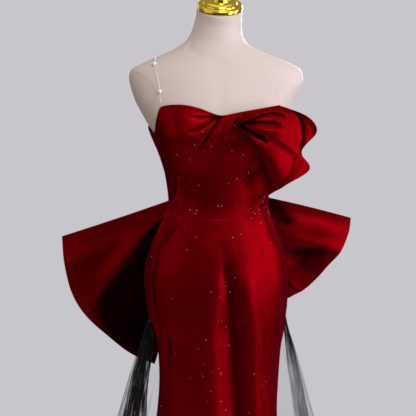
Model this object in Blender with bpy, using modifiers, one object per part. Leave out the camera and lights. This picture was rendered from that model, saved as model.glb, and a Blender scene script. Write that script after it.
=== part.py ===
"""Mermaid gown on a limbless dress form. Metres, +Z up, the gown's front faces -Y.

The origin is the centre of the stand's underside. Every cloth piece is a grid bent to a curved surface,
given its wall by Solidify. Heights and half-widths come from short tables, one row for each level.
"""
import math
import bpy
import bmesh
import numpy as np
from mathutils import Vector

# Driving dimensions, metres
SATIN_WALL = 0.0020
TULLE_WALL = 0.0010
BOW_WALL = 0.0016
SEAM_GAP = 0.0003
WAIST_GAP = 0.0006
FORM_CLEARANCE = 0.0019
FORM_HIP_CLEARANCE = 0.0065
HEM_HEIGHT = 0.006
WAIST_FRONT_HEIGHT = 1.0455
WAIST_SIDE_RISE = 0.012
FORM_BOTTOM_HEIGHT = 0.800
NECK_TOP_HEIGHT = 1.5135
NECK_TILT = math.radians(25)
NECK_TILT_START = 1.460
NECK_CENTRE = (0.0080, -0.0100)
POLE_RADIUS = 0.016
BASE_RADIUS = 0.165
BASE_HEIGHT = 0.030
PEARL_RADIUS = 0.0045
STRING_RADIUS = 0.0011

# The side seams, in degrees round the body: 0 is the centre front, 90 the viewer's right, 180 the back
SEAM_LEFT = -66.0
SEAM_RIGHT = 74.0
SEAM_HALF_WIDTH = 0.00025
SEAM_BORDER = 0.8

# Outside of the gown: half-widths to the viewer's left and right, depth to the front and back
GOWN_LEVELS = (
    # z, left, right, front, back
    (1.310, 0.188, 0.190, 0.1010, 0.0990),
    (1.282, 0.175, 0.177, 0.1030, 0.1010),
    (1.255, 0.160, 0.162, 0.1040, 0.1010),
    (1.224, 0.1480, 0.150, 0.1040, 0.1000),
    (1.190, 0.1335, 0.139, 0.1010, 0.0970),
    (1.162, 0.1238, 0.130, 0.0970, 0.0930),
    (1.137, 0.1171, 0.1235, 0.0930, 0.0890),
    (1.091, 0.1104, 0.1222, 0.0890, 0.0840),
    (1.070, 0.1105, 0.1210, 0.0880, 0.0830),
    (1.043, 0.1195, 0.1245, 0.0910, 0.0870),
    (1.010, 0.1336, 0.1370, 0.0970, 0.0980),
    (0.977, 0.1487, 0.1525, 0.1030, 0.1090),
    (0.944, 0.1592, 0.1608, 0.1080, 0.1180),
    (0.911, 0.1651, 0.1660, 0.1120, 0.1230),
    (0.872, 0.1642, 0.1674, 0.1140, 0.1240),
    (0.834, 0.1598, 0.1660, 0.1130, 0.1210),
    (0.800, 0.1520, 0.1620, 0.1110, 0.1170),
    (0.768, 0.1400, 0.1580, 0.1090, 0.1140),
    (0.737, 0.1350, 0.1522, 0.1070, 0.1120),
    (0.656, 0.1322, 0.1462, 0.1040, 0.1120),
    (0.575, 0.1387, 0.1440, 0.1060, 0.1200),
    (0.500, 0.1500, 0.1530, 0.1160, 0.1340),
    (0.420, 0.1700, 0.1720, 0.1340, 0.1580),
    (0.330, 0.2000, 0.2020, 0.1620, 0.1900),
    (0.240, 0.2360, 0.2380, 0.1960, 0.2280),
    (0.150, 0.2720, 0.2740, 0.2320, 0.2680),
    (0.070, 0.3000, 0.3020, 0.2600, 0.3000),
    (0.000, 0.3200, 0.3220, 0.2800, 0.3220),
)

# Bare part of the dress form, and how square its sections are (1 is an ellipse, less is squarer)
FORM_LEVELS = (
    # z, left, right, front, back, square
    (1.5135, 0.0420, 0.0600, 0.0600, 0.0400, 1.00),
    (1.4900, 0.0460, 0.0590, 0.0560, 0.0440, 1.00),
    (1.4721, 0.0518, 0.0582, 0.0540, 0.0480, 1.00),
    (1.4535, 0.0593, 0.0605, 0.0540, 0.0530, 1.00),
    (1.4385, 0.0706, 0.0690, 0.0550, 0.0570, 1.00),
    (1.4302, 0.0820, 0.0780, 0.0570, 0.0600, 0.99),
    (1.4204, 0.0975, 0.0980, 0.0600, 0.0640, 0.97),
    (1.4074, 0.1273, 0.1285, 0.0640, 0.0690, 0.93),
    (1.4007, 0.1431, 0.1460, 0.0660, 0.0715, 0.91),
    (1.3905, 0.1657, 0.1700, 0.0690, 0.0745, 0.88),
    (1.3816, 0.1838, 0.1860, 0.0720, 0.0770, 0.86),
    (1.3748, 0.1930, 0.1940, 0.0745, 0.0790, 0.85),
    (1.3620, 0.1974, 0.1983, 0.0790, 0.0825, 0.85),
    (1.3434, 0.1953, 0.1975, 0.0850, 0.0870, 0.86),
    (1.3074, 0.1843, 0.1815, 0.0950, 0.0940, 0.91),
    (1.2804, 0.1705, 0.1700, 0.0995, 0.0970, 0.96),
    (1.2532, 0.1552, 0.1570, 0.1005, 0.0975, 1.00),
    (1.2327, 0.1425, 0.1450, 0.1005, 0.0970, 1.00),
)

# Top edge of the bodice round the body
TOP_EDGE = (
    # degrees, z
    (-180.0, 1.256),
    (-130.0, 1.254),
    (-112.0, 1.252),
    (-100.0, 1.248),
    (-90.0, 1.241),
    (-78.0, 1.235),
    (-69.0, 1.2345),
    (-63.0, 1.2395),
    (-57.5, 1.2530),
    (-50.0, 1.2720),
    (-46.5, 1.2845),
    (-44.5, 1.2915),
    (-41.0, 1.2950),
    (-33.0, 1.2980),
    (-24.0, 1.2975),
    (-14.0, 1.2905),
    (-7.0, 1.2815),
    (1.0, 1.2745),
    (15.0, 1.2825),
    (28.0, 1.2880),
    (40.0, 1.2860),
    (50.0, 1.2750),
    (60.0, 1.2600),
    (75.0, 1.2420),
    (90.0, 1.2400),
    (110.0, 1.2490),
    (130.0, 1.2540),
    (180.0, 1.2560),
)

# Bust cups: outward swell on each side of the centre front
CUP = {"height": 0.027, "degrees": 34.0, "spread": 23.0, "z": 1.226, "above": 0.060, "below": 0.050}

# Creases and soft folds pressed into the gown: a line between two places on the body, how wide it is,
# and how far it stands out (a trough is negative)
GOWN_FOLDS = (
    # degrees from, z from, degrees to, z to, width, height
    (-5.0, 1.270, -31.0, 1.230, 0.0070, -0.0045),
    (-5.0, 1.262, -26.0, 1.208, 0.0080, 0.0035),
    (-6.0, 1.275, -32.0, 1.266, 0.0060, -0.0024),
    (-8.0, 1.279, -28.0, 1.285, 0.0050, -0.0015),
    (-52.0, 1.135, -44.0, 1.080, 0.0120, 0.0050),
    (-44.0, 1.080, -52.0, 1.005, 0.0120, 0.0055),
    (-52.0, 1.005, -60.0, 0.930, 0.0140, 0.0030),
    (-60.0, 1.115, -58.0, 1.030, 0.0090, -0.0006),
    (-58.0, 1.020, -65.0, 0.930, 0.0090, -0.0030),
    (7.0, 0.960, 12.0, 0.560, 0.0170, 0.0045),
    (19.0, 0.980, 23.0, 0.560, 0.0150, -0.0050),
    (37.0, 1.010, 38.0, 0.560, 0.0230, 0.0040),
    (-24.0, 0.960, -22.0, 0.560, 0.0280, -0.0030),
    (-46.0, 0.820, -40.0, 0.560, 0.0180, 0.0035),
    (60.0, 0.900, 57.0, 0.560, 0.0200, -0.0030),
    (150.0, 0.900, 155.0, 0.560, 0.0250, -0.0040),
    (-150.0, 0.920, -156.0, 0.560, 0.0250, -0.0040),
    (176.0, 0.880, 178.0, 0.560, 0.0220, 0.0040),
)
FLARE = {"start": 0.600, "height": 0.019, "waves": 10, "turn": 0.6}

# Black tulle overskirt: where its free front edges are and how deep it hangs behind, level by level
TULLE_LEVELS = (
    # z, half_width, edge_y, back_y, wave
    (0.980, 0.155, 0.045, 0.125, 0.0000),
    (0.870, 0.152, 0.060, 0.150, 0.0020),
    (0.800, 0.159, 0.056, 0.172, 0.0040),
    (0.740, 0.177, 0.050, 0.190, 0.0060),
    (0.700, 0.190, 0.048, 0.205, 0.0080),
    (0.600, 0.218, 0.048, 0.245, 0.0110),
    (0.480, 0.254, 0.050, 0.300, 0.0150),
    (0.340, 0.304, 0.058, 0.372, 0.0185),
    (0.200, 0.366, 0.068, 0.460, 0.0220),
    (0.080, 0.425, 0.080, 0.560, 0.0240),
    (0.0045, 0.470, 0.090, 0.690, 0.0200),
)
TULLE = {"top": 1.020, "top_reach": 62.0, "low_reach": 92.0, "hang_start": 0.985, "hang_full": 0.790,
         "waves": 9, "gap": 0.0002}

# The back bow's two loops. Each row is one station round the loop's open mouth, top fold to lower fold,
# first on the front layer and then on the layer behind it
BACK_BOW_LEFT = (
    # x, y, z of the front layer's hem, then x, y, z of the rear layer's hem
    (-0.359, 0.151, 0.979, -0.359, 0.151, 0.979),
    (-0.354, 0.132, 0.920, -0.348, 0.178, 0.925),
    (-0.337, 0.128, 0.846, -0.328, 0.192, 0.852),
    (-0.303, 0.132, 0.786, -0.292, 0.204, 0.795),
    (-0.251, 0.166, 0.729, -0.242, 0.224, 0.740),
    (-0.196, 0.190, 0.679, -0.190, 0.232, 0.693),
    (-0.135, 0.198, 0.648, -0.135, 0.198, 0.648),
)
BACK_BOW_RIGHT = (
    # x, y, z of the front layer's hem, then x, y, z of the rear layer's hem
    (0.348, 0.151, 1.017, 0.348, 0.151, 1.017),
    (0.338, 0.128, 0.980, 0.334, 0.176, 0.976),
    (0.315, 0.118, 0.936, 0.309, 0.190, 0.930),
    (0.281, 0.126, 0.893, 0.274, 0.198, 0.886),
    (0.240, 0.150, 0.845, 0.234, 0.200, 0.841),
    (0.205, 0.160, 0.822, 0.198, 0.192, 0.818),
    (0.166, 0.173, 0.800, 0.166, 0.173, 0.800),
)
BACK_KNOT = {"y": 0.0999, "z": 1.073, "half_height": 0.033, "half_depth": 0.016, "half_width": 0.021,
             "gathered": 0.024}

# The bust bow's loop, lower fold to top fold
BUST_BOW = (
    # x, y, z of the front layer's hem, then x, y, z of the rear layer's hem
    (0.107, -0.116, 1.100, 0.107, -0.116, 1.100),
    (0.136, -0.140, 1.122, 0.150, -0.100, 1.130),
    (0.195, -0.120, 1.156, 0.193, -0.092, 1.154),
    (0.173, -0.142, 1.194, 0.184, -0.082, 1.196),
    (0.180, -0.148, 1.236, 0.218, -0.086, 1.237),
    (0.166, -0.142, 1.276, 0.196, -0.096, 1.270),
    (0.128, -0.118, 1.296, 0.128, -0.118, 1.296),
)


def smooth_value(table, column, at):
    """Value of one column at a place along the first column, on a smooth curve through the rows."""
    rows = sorted(table)
    keys = [row[0] for row in rows]
    values = [row[column] for row in rows]
    at = min(max(at, keys[0]), keys[-1])
    i = min(max(int(np.searchsorted(keys, at)) - 1, 0), len(keys) - 2)

    def slope(k):
        before, after = max(k - 1, 0), min(k + 1, len(keys) - 1)
        return (values[after] - values[before]) / (keys[after] - keys[before])

    span = keys[i + 1] - keys[i]
    t = (at - keys[i]) / span
    return ((2 * t ** 3 - 3 * t ** 2 + 1) * values[i] + (t ** 3 - 2 * t ** 2 + t) * span * slope(i)
            + (3 * t ** 2 - 2 * t ** 3) * values[i + 1] + (t ** 3 - t ** 2) * span * slope(i + 1))


def ease(x):
    """0 below 0, 1 above 1, smooth between."""
    x = min(max(x, 0.0), 1.0)
    return x * x * (3 - 2 * x)


def oval(degrees, left, right, front, back, square=1.0):
    """Point of an oval section whose four half-axes may differ."""
    s, c = math.sin(math.radians(degrees)), math.cos(math.radians(degrees))
    x = math.copysign(abs(s) ** square, s) * (right if s > 0 else left)
    y = -math.copysign(abs(c) ** square, c) * (front if c > 0 else back)
    return x, y


def cup_swell(degrees, z):
    """How far the bust cups stand out of the plain section."""
    reach = CUP["above"] if z > CUP["z"] else CUP["below"]
    level = math.exp(-((z - CUP["z"]) / reach) ** 2)
    around = sum(math.exp(-((degrees - side * CUP["degrees"]) / CUP["spread"]) ** 2) for side in (-1, 1))
    return CUP["height"] * level * around


def fold_height(degrees, z, radius):
    """Creases and soft folds: each is a ridge along a straight line, soft at both ends."""
    total = 0.0
    for a0, z0, a1, z1, width, height in GOWN_FOLDS:
        along = Vector((math.radians(a1 - a0) * radius, z1 - z0))
        turn = (degrees - a0 + 180) % 360 - 180
        place = Vector((math.radians(turn) * radius, z - z0))
        t = min(max(place.dot(along) / along.length_squared, 0.0), 1.0)
        off = (place - along * t).length
        total += height * math.exp(-(off / width) ** 2) * (0.35 + 0.65 * math.sin(math.pi * t) ** 0.5)
    return total


def gown_point(degrees, z, outward=0.0):
    """Outside of the gown at an angle and a height, moved outward by a given distance."""
    degrees = (degrees + 180) % 360 - 180
    left, right, front, back = (smooth_value(GOWN_LEVELS, column, z) for column in (1, 2, 3, 4))
    x, y = oval(degrees, left, right, front, back)
    radius = math.hypot(x, y)
    flare = ease((FLARE["start"] - z) / FLARE["start"])
    uneven = 0.5 * math.sin(math.radians(3 * degrees))
    wave = math.cos(math.radians(degrees) * FLARE["waves"] + FLARE["turn"] + uneven)
    out = cup_swell(degrees, z) + fold_height(degrees, z, radius) + FLARE["height"] * flare * wave + outward
    return Vector((x * (1 + out / radius), y * (1 + out / radius), z))


def form_point(degrees, z):
    """Surface of the dress form: its own table above the bust, just inside the gown below it."""
    bare = [smooth_value(FORM_LEVELS, column, z) for column in (1, 2, 3, 4, 5)]
    x, y = oval(degrees, *bare)
    radius = math.hypot(x, y)
    swell = 0.80 * cup_swell(degrees, z)
    shown = Vector((x * (1 + swell / radius), y * (1 + swell / radius), z))
    inset = (SATIN_WALL + FORM_CLEARANCE + FORM_HIP_CLEARANCE * ease((1.040 - z) / 0.070)
             + 0.030 * ease((0.880 - z) / 0.080) ** 1.5)
    left, right, front, back = (smooth_value(GOWN_LEVELS, column, z) - inset for column in (1, 2, 3, 4))
    x, y = oval(degrees, left, right, front, back)
    radius = math.hypot(x, y)
    hidden = Vector((x * (1 + swell / radius), y * (1 + swell / radius), z))
    return hidden.lerp(shown, ease((z - 1.200) / 0.045))


def top_edge(degrees):
    return smooth_value(TOP_EDGE, 1, degrees)


def waist_seam(degrees):
    return WAIST_FRONT_HEIGHT + WAIST_SIDE_RISE * math.sin(math.radians(degrees)) ** 2


def front_face(x, z):
    """Y of the gown's front at a place across it, by halving the angle."""
    low, high = -89.0, 89.0
    for _ in range(24):
        middle = (low + high) / 2
        if gown_point(middle, z).x < x:
            low = middle
        else:
            high = middle
    return gown_point(low, z).y


def make_material(name, colour, roughness, metallic=0.0, alpha=1.0):
    material = bpy.data.materials.new(name)
    material.use_nodes = True
    shader = material.node_tree.nodes["Principled BSDF"]
    shader.inputs["Base Color"].default_value = (*colour, 1.0)
    shader.inputs["Roughness"].default_value = roughness
    shader.inputs["Metallic"].default_value = metallic
    shader.inputs["Alpha"].default_value = alpha
    material.diffuse_color = (*colour, 1.0)
    return material


def add_object(name, mesh, collection, material):
    thing = bpy.data.objects.new(name, mesh)
    mesh.materials.append(material)
    collection.objects.link(thing)
    mesh.shade_smooth()
    mesh.set_sharp_from_angle(angle=math.radians(40))
    return thing


def bent_grid(name, columns, rows, place, closed=False, capped=False):
    """A flat grid bent to a surface: place(u, v) gives the point, u round the body and v upward."""
    bm = bmesh.new()
    bmesh.ops.create_grid(bm, x_segments=columns, y_segments=rows, size=0.5)
    for vertex in bm.verts:
        vertex.co = place(vertex.co.x + 0.5, vertex.co.y + 0.5)
    if closed:
        bmesh.ops.remove_doubles(bm, verts=bm.verts, dist=0.00001)
    if capped:
        bmesh.ops.holes_fill(bm, edges=[edge for edge in bm.edges if edge.is_boundary], sides=0)
    mesh = bpy.data.meshes.new(name)
    bm.to_mesh(mesh)
    bm.free()
    return mesh


def add_cloth(name, mesh, collection, material, wall, side=-1):
    """Cloth: the wall grows inward from the grid, or outward from it with a side of 1."""
    cloth = add_object(name, mesh, collection, material)
    solidify = cloth.modifiers.new("wall", "SOLIDIFY")
    solidify.thickness = wall
    solidify.offset = side
    return cloth


def panel(name, start, end, low, high, columns, shares, collection, material):
    """A gown panel between two angles, and between two edges given as heights round the body.

    shares places its levels: 0 is the lower edge and 1 the upper.
    """
    inner = (end - start - 2 * SEAM_BORDER) / (columns - 2)

    def place(u, v):
        column = round(u * columns)
        inside = SEAM_BORDER + (column - 1) * inner
        degrees = start if column == 0 else end if column == columns else start + inside
        z = low(degrees) + (high(degrees) - low(degrees)) * shares[round(v * (len(shares) - 1))]
        seam = math.degrees(SEAM_HALF_WIDTH / gown_point(degrees, z).xy.length)
        return gown_point(degrees + seam * (1 - 2 * u), z)
    mesh = bent_grid(name, columns, len(shares) - 1, place)
    return add_cloth(name, mesh, collection, material, SATIN_WALL)


def make_bodice(collection, satin):
    def low(degrees):
        return waist_seam(degrees) + WAIST_GAP
    shares = np.concatenate(((0, 0.01), np.linspace(0.01, 1, 12)[1:]))
    panel("bodice_front", SEAM_LEFT, SEAM_RIGHT, low, top_edge, 34, shares, collection, satin)

    def back_top(degrees):
        return top_edge(degrees - 360 if degrees > 180 else degrees)
    panel("bodice_back", SEAM_RIGHT, SEAM_LEFT + 360, low, back_top, 20, shares, collection, satin)


def make_skirt(collection, satin):
    def low(degrees):
        return HEM_HEIGHT
    shares = np.concatenate((np.linspace(0, 0.54, 6), np.linspace(0.54, 0.76, 3)[1:],
                             np.linspace(0.76, 0.997, 8)[1:], (1.0,)))
    panel("skirt_front", SEAM_LEFT, SEAM_RIGHT, low, waist_seam, 22, shares, collection, satin)
    panel("skirt_back", SEAM_RIGHT, SEAM_LEFT + 360, low, waist_seam, 32, shares, collection, satin)


def make_form(collection, skin):
    """Torso from the closed underside to the neck, its levels closer together at the shoulders."""
    levels = np.concatenate((
        np.linspace(FORM_BOTTOM_HEIGHT, 0.880, 4), np.linspace(0.880, 1.200, 14)[1:],
        np.linspace(1.200, 1.340, 6)[1:], np.linspace(1.340, 1.460, 11)[1:],
        np.linspace(1.460, NECK_TOP_HEIGHT, 3)[1:]))

    def place(u, v):
        z = float(levels[int(round(v * (len(levels) - 1)))])
        point = form_point(-180 + 360 * u, z)
        tilt = ease((z - NECK_TILT_START) / (NECK_TOP_HEIGHT - NECK_TILT_START))
        point.z += tilt * (point.y - NECK_CENTRE[1]) * math.tan(NECK_TILT)
        return point
    mesh = bent_grid("form_torso", 34, len(levels) - 1, place, closed=True, capped=True)
    add_object("form_torso", mesh, collection, skin)


def turned(name, profile, steps, collection, material):
    """A turned shape: (radius, z) points from the top of the outside down."""
    mesh = bpy.data.meshes.new(name)
    corners = [(radius, 0, z) for radius, z in profile]
    mesh.from_pydata(corners, [(i, i + 1) for i in range(len(profile) - 1)], [])
    thing = add_object(name, mesh, collection, material)
    screw = thing.modifiers.new("turn", "SCREW")
    screw.steps = screw.render_steps = steps
    screw.use_merge_vertices = True
    screw.merge_threshold = 0.00005
    return thing


def make_cap(collection, metal):
    """Stepped cap on the neck, tilted forward with the neck's top."""
    profile = [(0.0, 0.034), (0.012, 0.032), (0.018, 0.026), (0.0205, 0.0175), (0.0365, 0.0150),
               (0.040, 0.0095), (0.048, 0.0095), (0.0515, 0.0045), (0.0515, 0.0), (0.0, 0.0)]
    cap = turned("form_neck_cap", profile, 28, collection, metal)
    cap.location = (NECK_CENTRE[0], NECK_CENTRE[1], NECK_TOP_HEIGHT + SEAM_GAP)
    cap.rotation_euler = (NECK_TILT, 0, 0)


def make_stand(collection, metal):
    profile = [(0.0, BASE_HEIGHT), (0.026, BASE_HEIGHT), (0.030, 0.022), (0.060, 0.014), (0.150, 0.010),
               (BASE_RADIUS, 0.006), (BASE_RADIUS, 0.0), (0.0, 0.0)]
    turned("form_base", profile, 36, collection, metal)
    low, high = BASE_HEIGHT + SEAM_GAP, FORM_BOTTOM_HEIGHT - SEAM_GAP
    bpy.ops.mesh.primitive_cylinder_add(vertices=20, radius=POLE_RADIUS, depth=high - low,
                                        location=(0, 0, (low + high) / 2))
    pole = bpy.context.object
    pole.name = "form_pole"
    pole.data.materials.append(metal)
    pole.data.shade_smooth()
    pole.data.set_sharp_from_angle(angle=math.radians(40))
    for other in pole.users_collection:
        other.objects.unlink(pole)
    collection.objects.link(pole)


def make_tulle(collection, tulle):
    """Overskirt that lies on the back skirt at the waist and hangs free below the hips."""
    floor = TULLE_LEVELS[-1][0]
    levels = np.concatenate((np.linspace(floor, 0.100, 3), np.linspace(0.100, 0.800, 6)[1:],
                             np.linspace(0.800, TULLE["top"], 7)[1:]))

    def place(u, v):
        z = float(levels[round(v * (len(levels) - 1))])
        hang = ease((TULLE["hang_start"] - z) / (TULLE["hang_start"] - TULLE["hang_full"]))
        reach = TULLE["top_reach"] + (TULLE["low_reach"] - TULLE["top_reach"]) * ease((1.0 - z) / 0.16)
        turn = reach * (1 - 2 * u)
        near = gown_point(180 + turn, z, TULLE["gap"] + TULLE_WALL)
        half_width, edge_y, back_y, wave = (smooth_value(TULLE_LEVELS, column, z) for column in (1, 2, 3, 4))
        s, c = math.sin(math.radians(turn)), math.cos(math.radians(turn))
        ripple = 1 + wave / half_width * math.cos(math.pi * 2 * TULLE["waves"] * u + 0.8 * math.sin(7 * u))
        free = Vector((-half_width * s * ripple, edge_y + (back_y - edge_y) * max(c, 0) ** 0.9 * ripple, z))
        return near.lerp(free, hang)
    mesh = bent_grid("tulle_train", 46, len(levels) - 1, place)
    add_cloth("tulle_train", mesh, collection, tulle, TULLE_WALL)


def station(table, column, at):
    """Smooth value between the rows of a bow table, at runs 0 to 1 from the first row to the last."""
    numbered = [(i / (len(table) - 1), *row) for i, row in enumerate(table)]
    return smooth_value(numbered, column + 1, at)


def loop_point(table, knot, around, outward, puff, pleats, on_gown=False):
    """Inside of a bow loop. around runs 0 to 1 over the front layer and 1 to 2 back over the rear."""
    front = around <= 1
    v = around if front else 2 - around
    v -= 0.06 * math.sin(2 * math.pi * v)
    shift = 0 if front else 3
    hem = Vector([station(table, shift + i, v) for i in range(3)])
    start = knot["first"].lerp(knot["last"], v)
    side = -1 if front else 1
    start = start + Vector((0, side * knot["half_depth"] * math.sin(math.pi * v) ** 0.6, 0))
    point = start.lerp(hem, outward) + knot["fold_bend"] * (math.sin(math.pi * outward) * (1 - v) ** 2)
    swell = puff * math.sin(math.pi * outward) ** 0.8 * math.sin(math.pi * v) ** 0.7
    fade = math.sin(math.pi * min(outward * 1.25, 1)) ** 0.7
    crease = pleats["height"] * math.cos(2 * math.pi * pleats["count"] * v) * fade * math.sin(math.pi * v)
    point.y += side * (swell + crease) if front else side * swell
    if on_gown and not front:
        point.y = min(point.y, front_face(point.x, point.z) - 0.0006 - BOW_WALL - 0.012 * outward)
    return point


def bow_loop(name, table, knot, puff, pleats, columns, rows, collection, material,
             on_gown=False, mirrored=False):
    """A flattened tube of cloth: pinched at the knot, its mouth open at the hem."""
    def place(u, v):
        around = 2 * (1 - u if mirrored else u)
        return loop_point(table, knot, around, v, puff, pleats, on_gown)
    mesh = bent_grid(name, columns, rows, place, closed=True)
    return add_cloth(name, mesh, collection, material, BOW_WALL, side=1)


def make_back_bow(collection, satin):
    """Two loops, gathered to a pinched end against each side of the knot."""
    pleats = {"count": 3, "height": 0.005}
    for name, table, side, bend in (("back_bow_left", BACK_BOW_LEFT, -1, -0.002),
                                    ("back_bow_right", BACK_BOW_RIGHT, 1, 0.004)):
        end = BACK_KNOT["half_width"] + SEAM_GAP + BOW_WALL / 2
        top = BACK_KNOT["z"] + BACK_KNOT["gathered"]
        low = BACK_KNOT["z"] - BACK_KNOT["gathered"]
        knot = {"first": Vector((side * end, BACK_KNOT["y"], top)),
                "last": Vector((side * end, BACK_KNOT["y"], low)), "half_depth": 0.0085,
                "fold_bend": Vector((0, 0, bend))}
        bow_loop(name, table, knot, 0.016, pleats, 26, 8, collection, satin, mirrored=side > 0)


def make_back_knot(collection, satin):
    """The wrapped knot in the middle of the back bow: one rounded form, fullest in its middle."""
    centre = Vector((0, BACK_KNOT["y"], BACK_KNOT["z"]))
    half_height, half_depth = BACK_KNOT["half_height"], BACK_KNOT["half_depth"]
    half_width = BACK_KNOT["half_width"]

    def place(u, v):
        turn = 2 * math.pi * u
        c, s = math.cos(turn), math.sin(turn)
        barrel = 1 - 0.22 * (2 * v - 1) ** 2
        y = math.copysign(abs(c) ** 0.7, c) * half_depth * barrel
        z = math.copysign(abs(s) ** 0.7, s) * half_height * barrel
        return centre + Vector((half_width * (2 * v - 1), y, z))
    mesh = bent_grid("back_bow_knot", 20, 6, place, closed=True, capped=True)
    add_object("back_bow_knot", mesh, collection, satin)


def make_bust_bow(collection, satin):
    half_depth = 0.0050
    knot = {"first": Vector((0.034, 0, 1.249)), "last": Vector((0.049, 0, 1.282)),
            "half_depth": half_depth, "fold_bend": Vector((0.011, 0, 0.008))}
    for end in (knot["first"], knot["last"]):
        end.y = front_face(end.x, end.z) - 0.0006 - BOW_WALL - half_depth
    pleats = {"count": 3, "height": 0.0045}
    bow_loop("bust_bow", BUST_BOW, knot, 0.012, pleats, 28, 9, collection, satin, on_gown=True, mirrored=True)


def make_bust_band(collection, satin):
    """Short crossing band beside the bust centre: it lies on the bodice, wide below and gathered above."""
    def place(u, v):
        degrees = (-20.5 + 28.0 * u) * (1 - v) + (-0.5 + 14.0 * u) * v
        low = 1.2010 + 0.012 * u
        z = low + (top_edge(degrees) - 0.0006 - low) * v
        lift = 0.0011 + BOW_WALL + 0.0022 * math.sin(math.pi * u) ** 0.7 * v ** 0.5
        return gown_point(degrees, z, lift)
    mesh = bent_grid("bust_band", 10, 8, place)
    add_cloth("bust_band", mesh, collection, satin, BOW_WALL)


def make_strap(collection, pearl):
    """Pearls on a string, from the left front corner of the bodice over the shoulder to the back."""
    on_form = PEARL_RADIUS + 0.0004
    route = (
        # degrees round the form, z, how far the string's middle is off the form
        (-42.0, top_edge(-42.0) + 0.0012, 0.0030),
        (-40.6, 1.3150, on_form),
        (-39.2, 1.3380, on_form),
        (-40.4, 1.3620, on_form),
        (-46.6, 1.3810, on_form),
        (-63.0, 1.3965, on_form),
        (-90.0, 1.4035, on_form),
        (-117.0, 1.3965, on_form),
        (-131.0, 1.3810, on_form),
        (-136.0, 1.3580, on_form),
        (-137.0, 1.3200, on_form),
        (-136.0, 1.2880, on_form),
        (-134.0, top_edge(-134.0) + 0.0020, 0.0030),
    )
    points = []
    for degrees, z, off in route:
        point = form_point(degrees, z)
        across = form_point(degrees + 1, z) - form_point(degrees - 1, z)
        upward = form_point(degrees, z + 0.002) - form_point(degrees, z - 0.002)
        points.append(point + across.cross(upward).normalized() * off)
    keys = [(i, *point) for i, point in enumerate(points)]
    pearl_places = (1.5, 4.2, 6.3, 8.4, 10.4)
    steps = set(np.round(np.linspace(0, len(points) - 1, 19), 3))
    for step in (-0.16, -0.1, 0.0, 0.1, 0.16):
        steps |= {round(place + step, 3) for place in pearl_places}
    steps = sorted(steps)
    curve = bpy.data.curves.new("pearl_strap", "CURVE")
    curve.dimensions = "3D"
    curve.bevel_depth = STRING_RADIUS
    curve.bevel_resolution = 2
    curve.use_fill_caps = True
    spline = curve.splines.new("POLY")
    spline.points.add(len(steps) - 1)
    for spot, at in zip(spline.points, steps):
        place = Vector([smooth_value(keys, column, at) for column in (1, 2, 3)])
        nearest = min(abs(at - pearl) for pearl in pearl_places)
        bead = math.sqrt(max(1 - (nearest / 0.17) ** 2, 0.0)) * PEARL_RADIUS
        spot.co = (*place, 1)
        spot.radius = max(bead / STRING_RADIUS, 1.0)
    strap = bpy.data.objects.new("pearl_strap", curve)
    curve.materials.append(pearl)
    collection.objects.link(strap)


def main():
    for thing in list(bpy.data.objects):
        bpy.data.objects.remove(thing)
    collection = bpy.data.collections.new("mermaid_gown_on_dress_form")
    bpy.context.scene.collection.children.link(collection)
    satin = make_material("wine_satin", (0.235, 0.003, 0.012), 0.42, 0.3)
    tulle = make_material("black_tulle", (0.012, 0.011, 0.014), 0.7, 0.0, 0.6)
    skin = make_material("form_linen", (0.66, 0.57, 0.52), 0.55)
    gold = make_material("polished_gold", (0.86, 0.62, 0.18), 0.18, 1.0)
    pearl = make_material("pearl", (0.86, 0.84, 0.80), 0.22)
    make_form(collection, skin)
    make_cap(collection, gold)
    make_stand(collection, gold)
    make_bodice(collection, satin)
    make_skirt(collection, satin)
    make_tulle(collection, tulle)
    make_bust_band(collection, satin)
    make_bust_bow(collection, satin)
    make_back_bow(collection, satin)
    make_back_knot(collection, satin)
    make_strap(collection, pearl)


main()
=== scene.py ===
import math
import random
from bisect import bisect_left

import bmesh
import bpy
from mathutils import Matrix, Vector


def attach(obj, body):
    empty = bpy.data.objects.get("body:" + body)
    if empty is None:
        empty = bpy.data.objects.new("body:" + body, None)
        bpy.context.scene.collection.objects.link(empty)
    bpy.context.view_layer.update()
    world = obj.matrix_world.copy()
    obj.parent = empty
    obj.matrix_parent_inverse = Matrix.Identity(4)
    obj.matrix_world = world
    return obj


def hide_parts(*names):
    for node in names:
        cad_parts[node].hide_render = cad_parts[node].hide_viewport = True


# The looks of a mermaid gown on a limbless dress form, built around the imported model.
# Metres, +Z up, the gown's front faces -Y. Angles run round the body: 0 is the centre front,
# 90 the viewer's right and 180 the back. Wherever a path is a list of pairs, each is (degrees, z).
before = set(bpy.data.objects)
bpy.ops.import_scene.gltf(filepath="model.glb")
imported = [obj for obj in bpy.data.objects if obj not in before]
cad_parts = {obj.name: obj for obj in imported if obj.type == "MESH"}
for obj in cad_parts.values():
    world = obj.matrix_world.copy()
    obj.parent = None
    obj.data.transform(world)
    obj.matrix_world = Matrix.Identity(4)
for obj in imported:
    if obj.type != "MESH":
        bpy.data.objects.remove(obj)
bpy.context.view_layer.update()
print("frame loaded")


# small helpers
def ease(x):
    x = min(max(x, 0.0), 1.0)
    return x * x * (3 - 2 * x)


def mixed(a, b, t):
    return a + (b - a) * t


def smoothTable(*rows):
    rows = sorted(rows)
    return {"keys": [row[0] for row in rows], "rows": rows}


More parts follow.
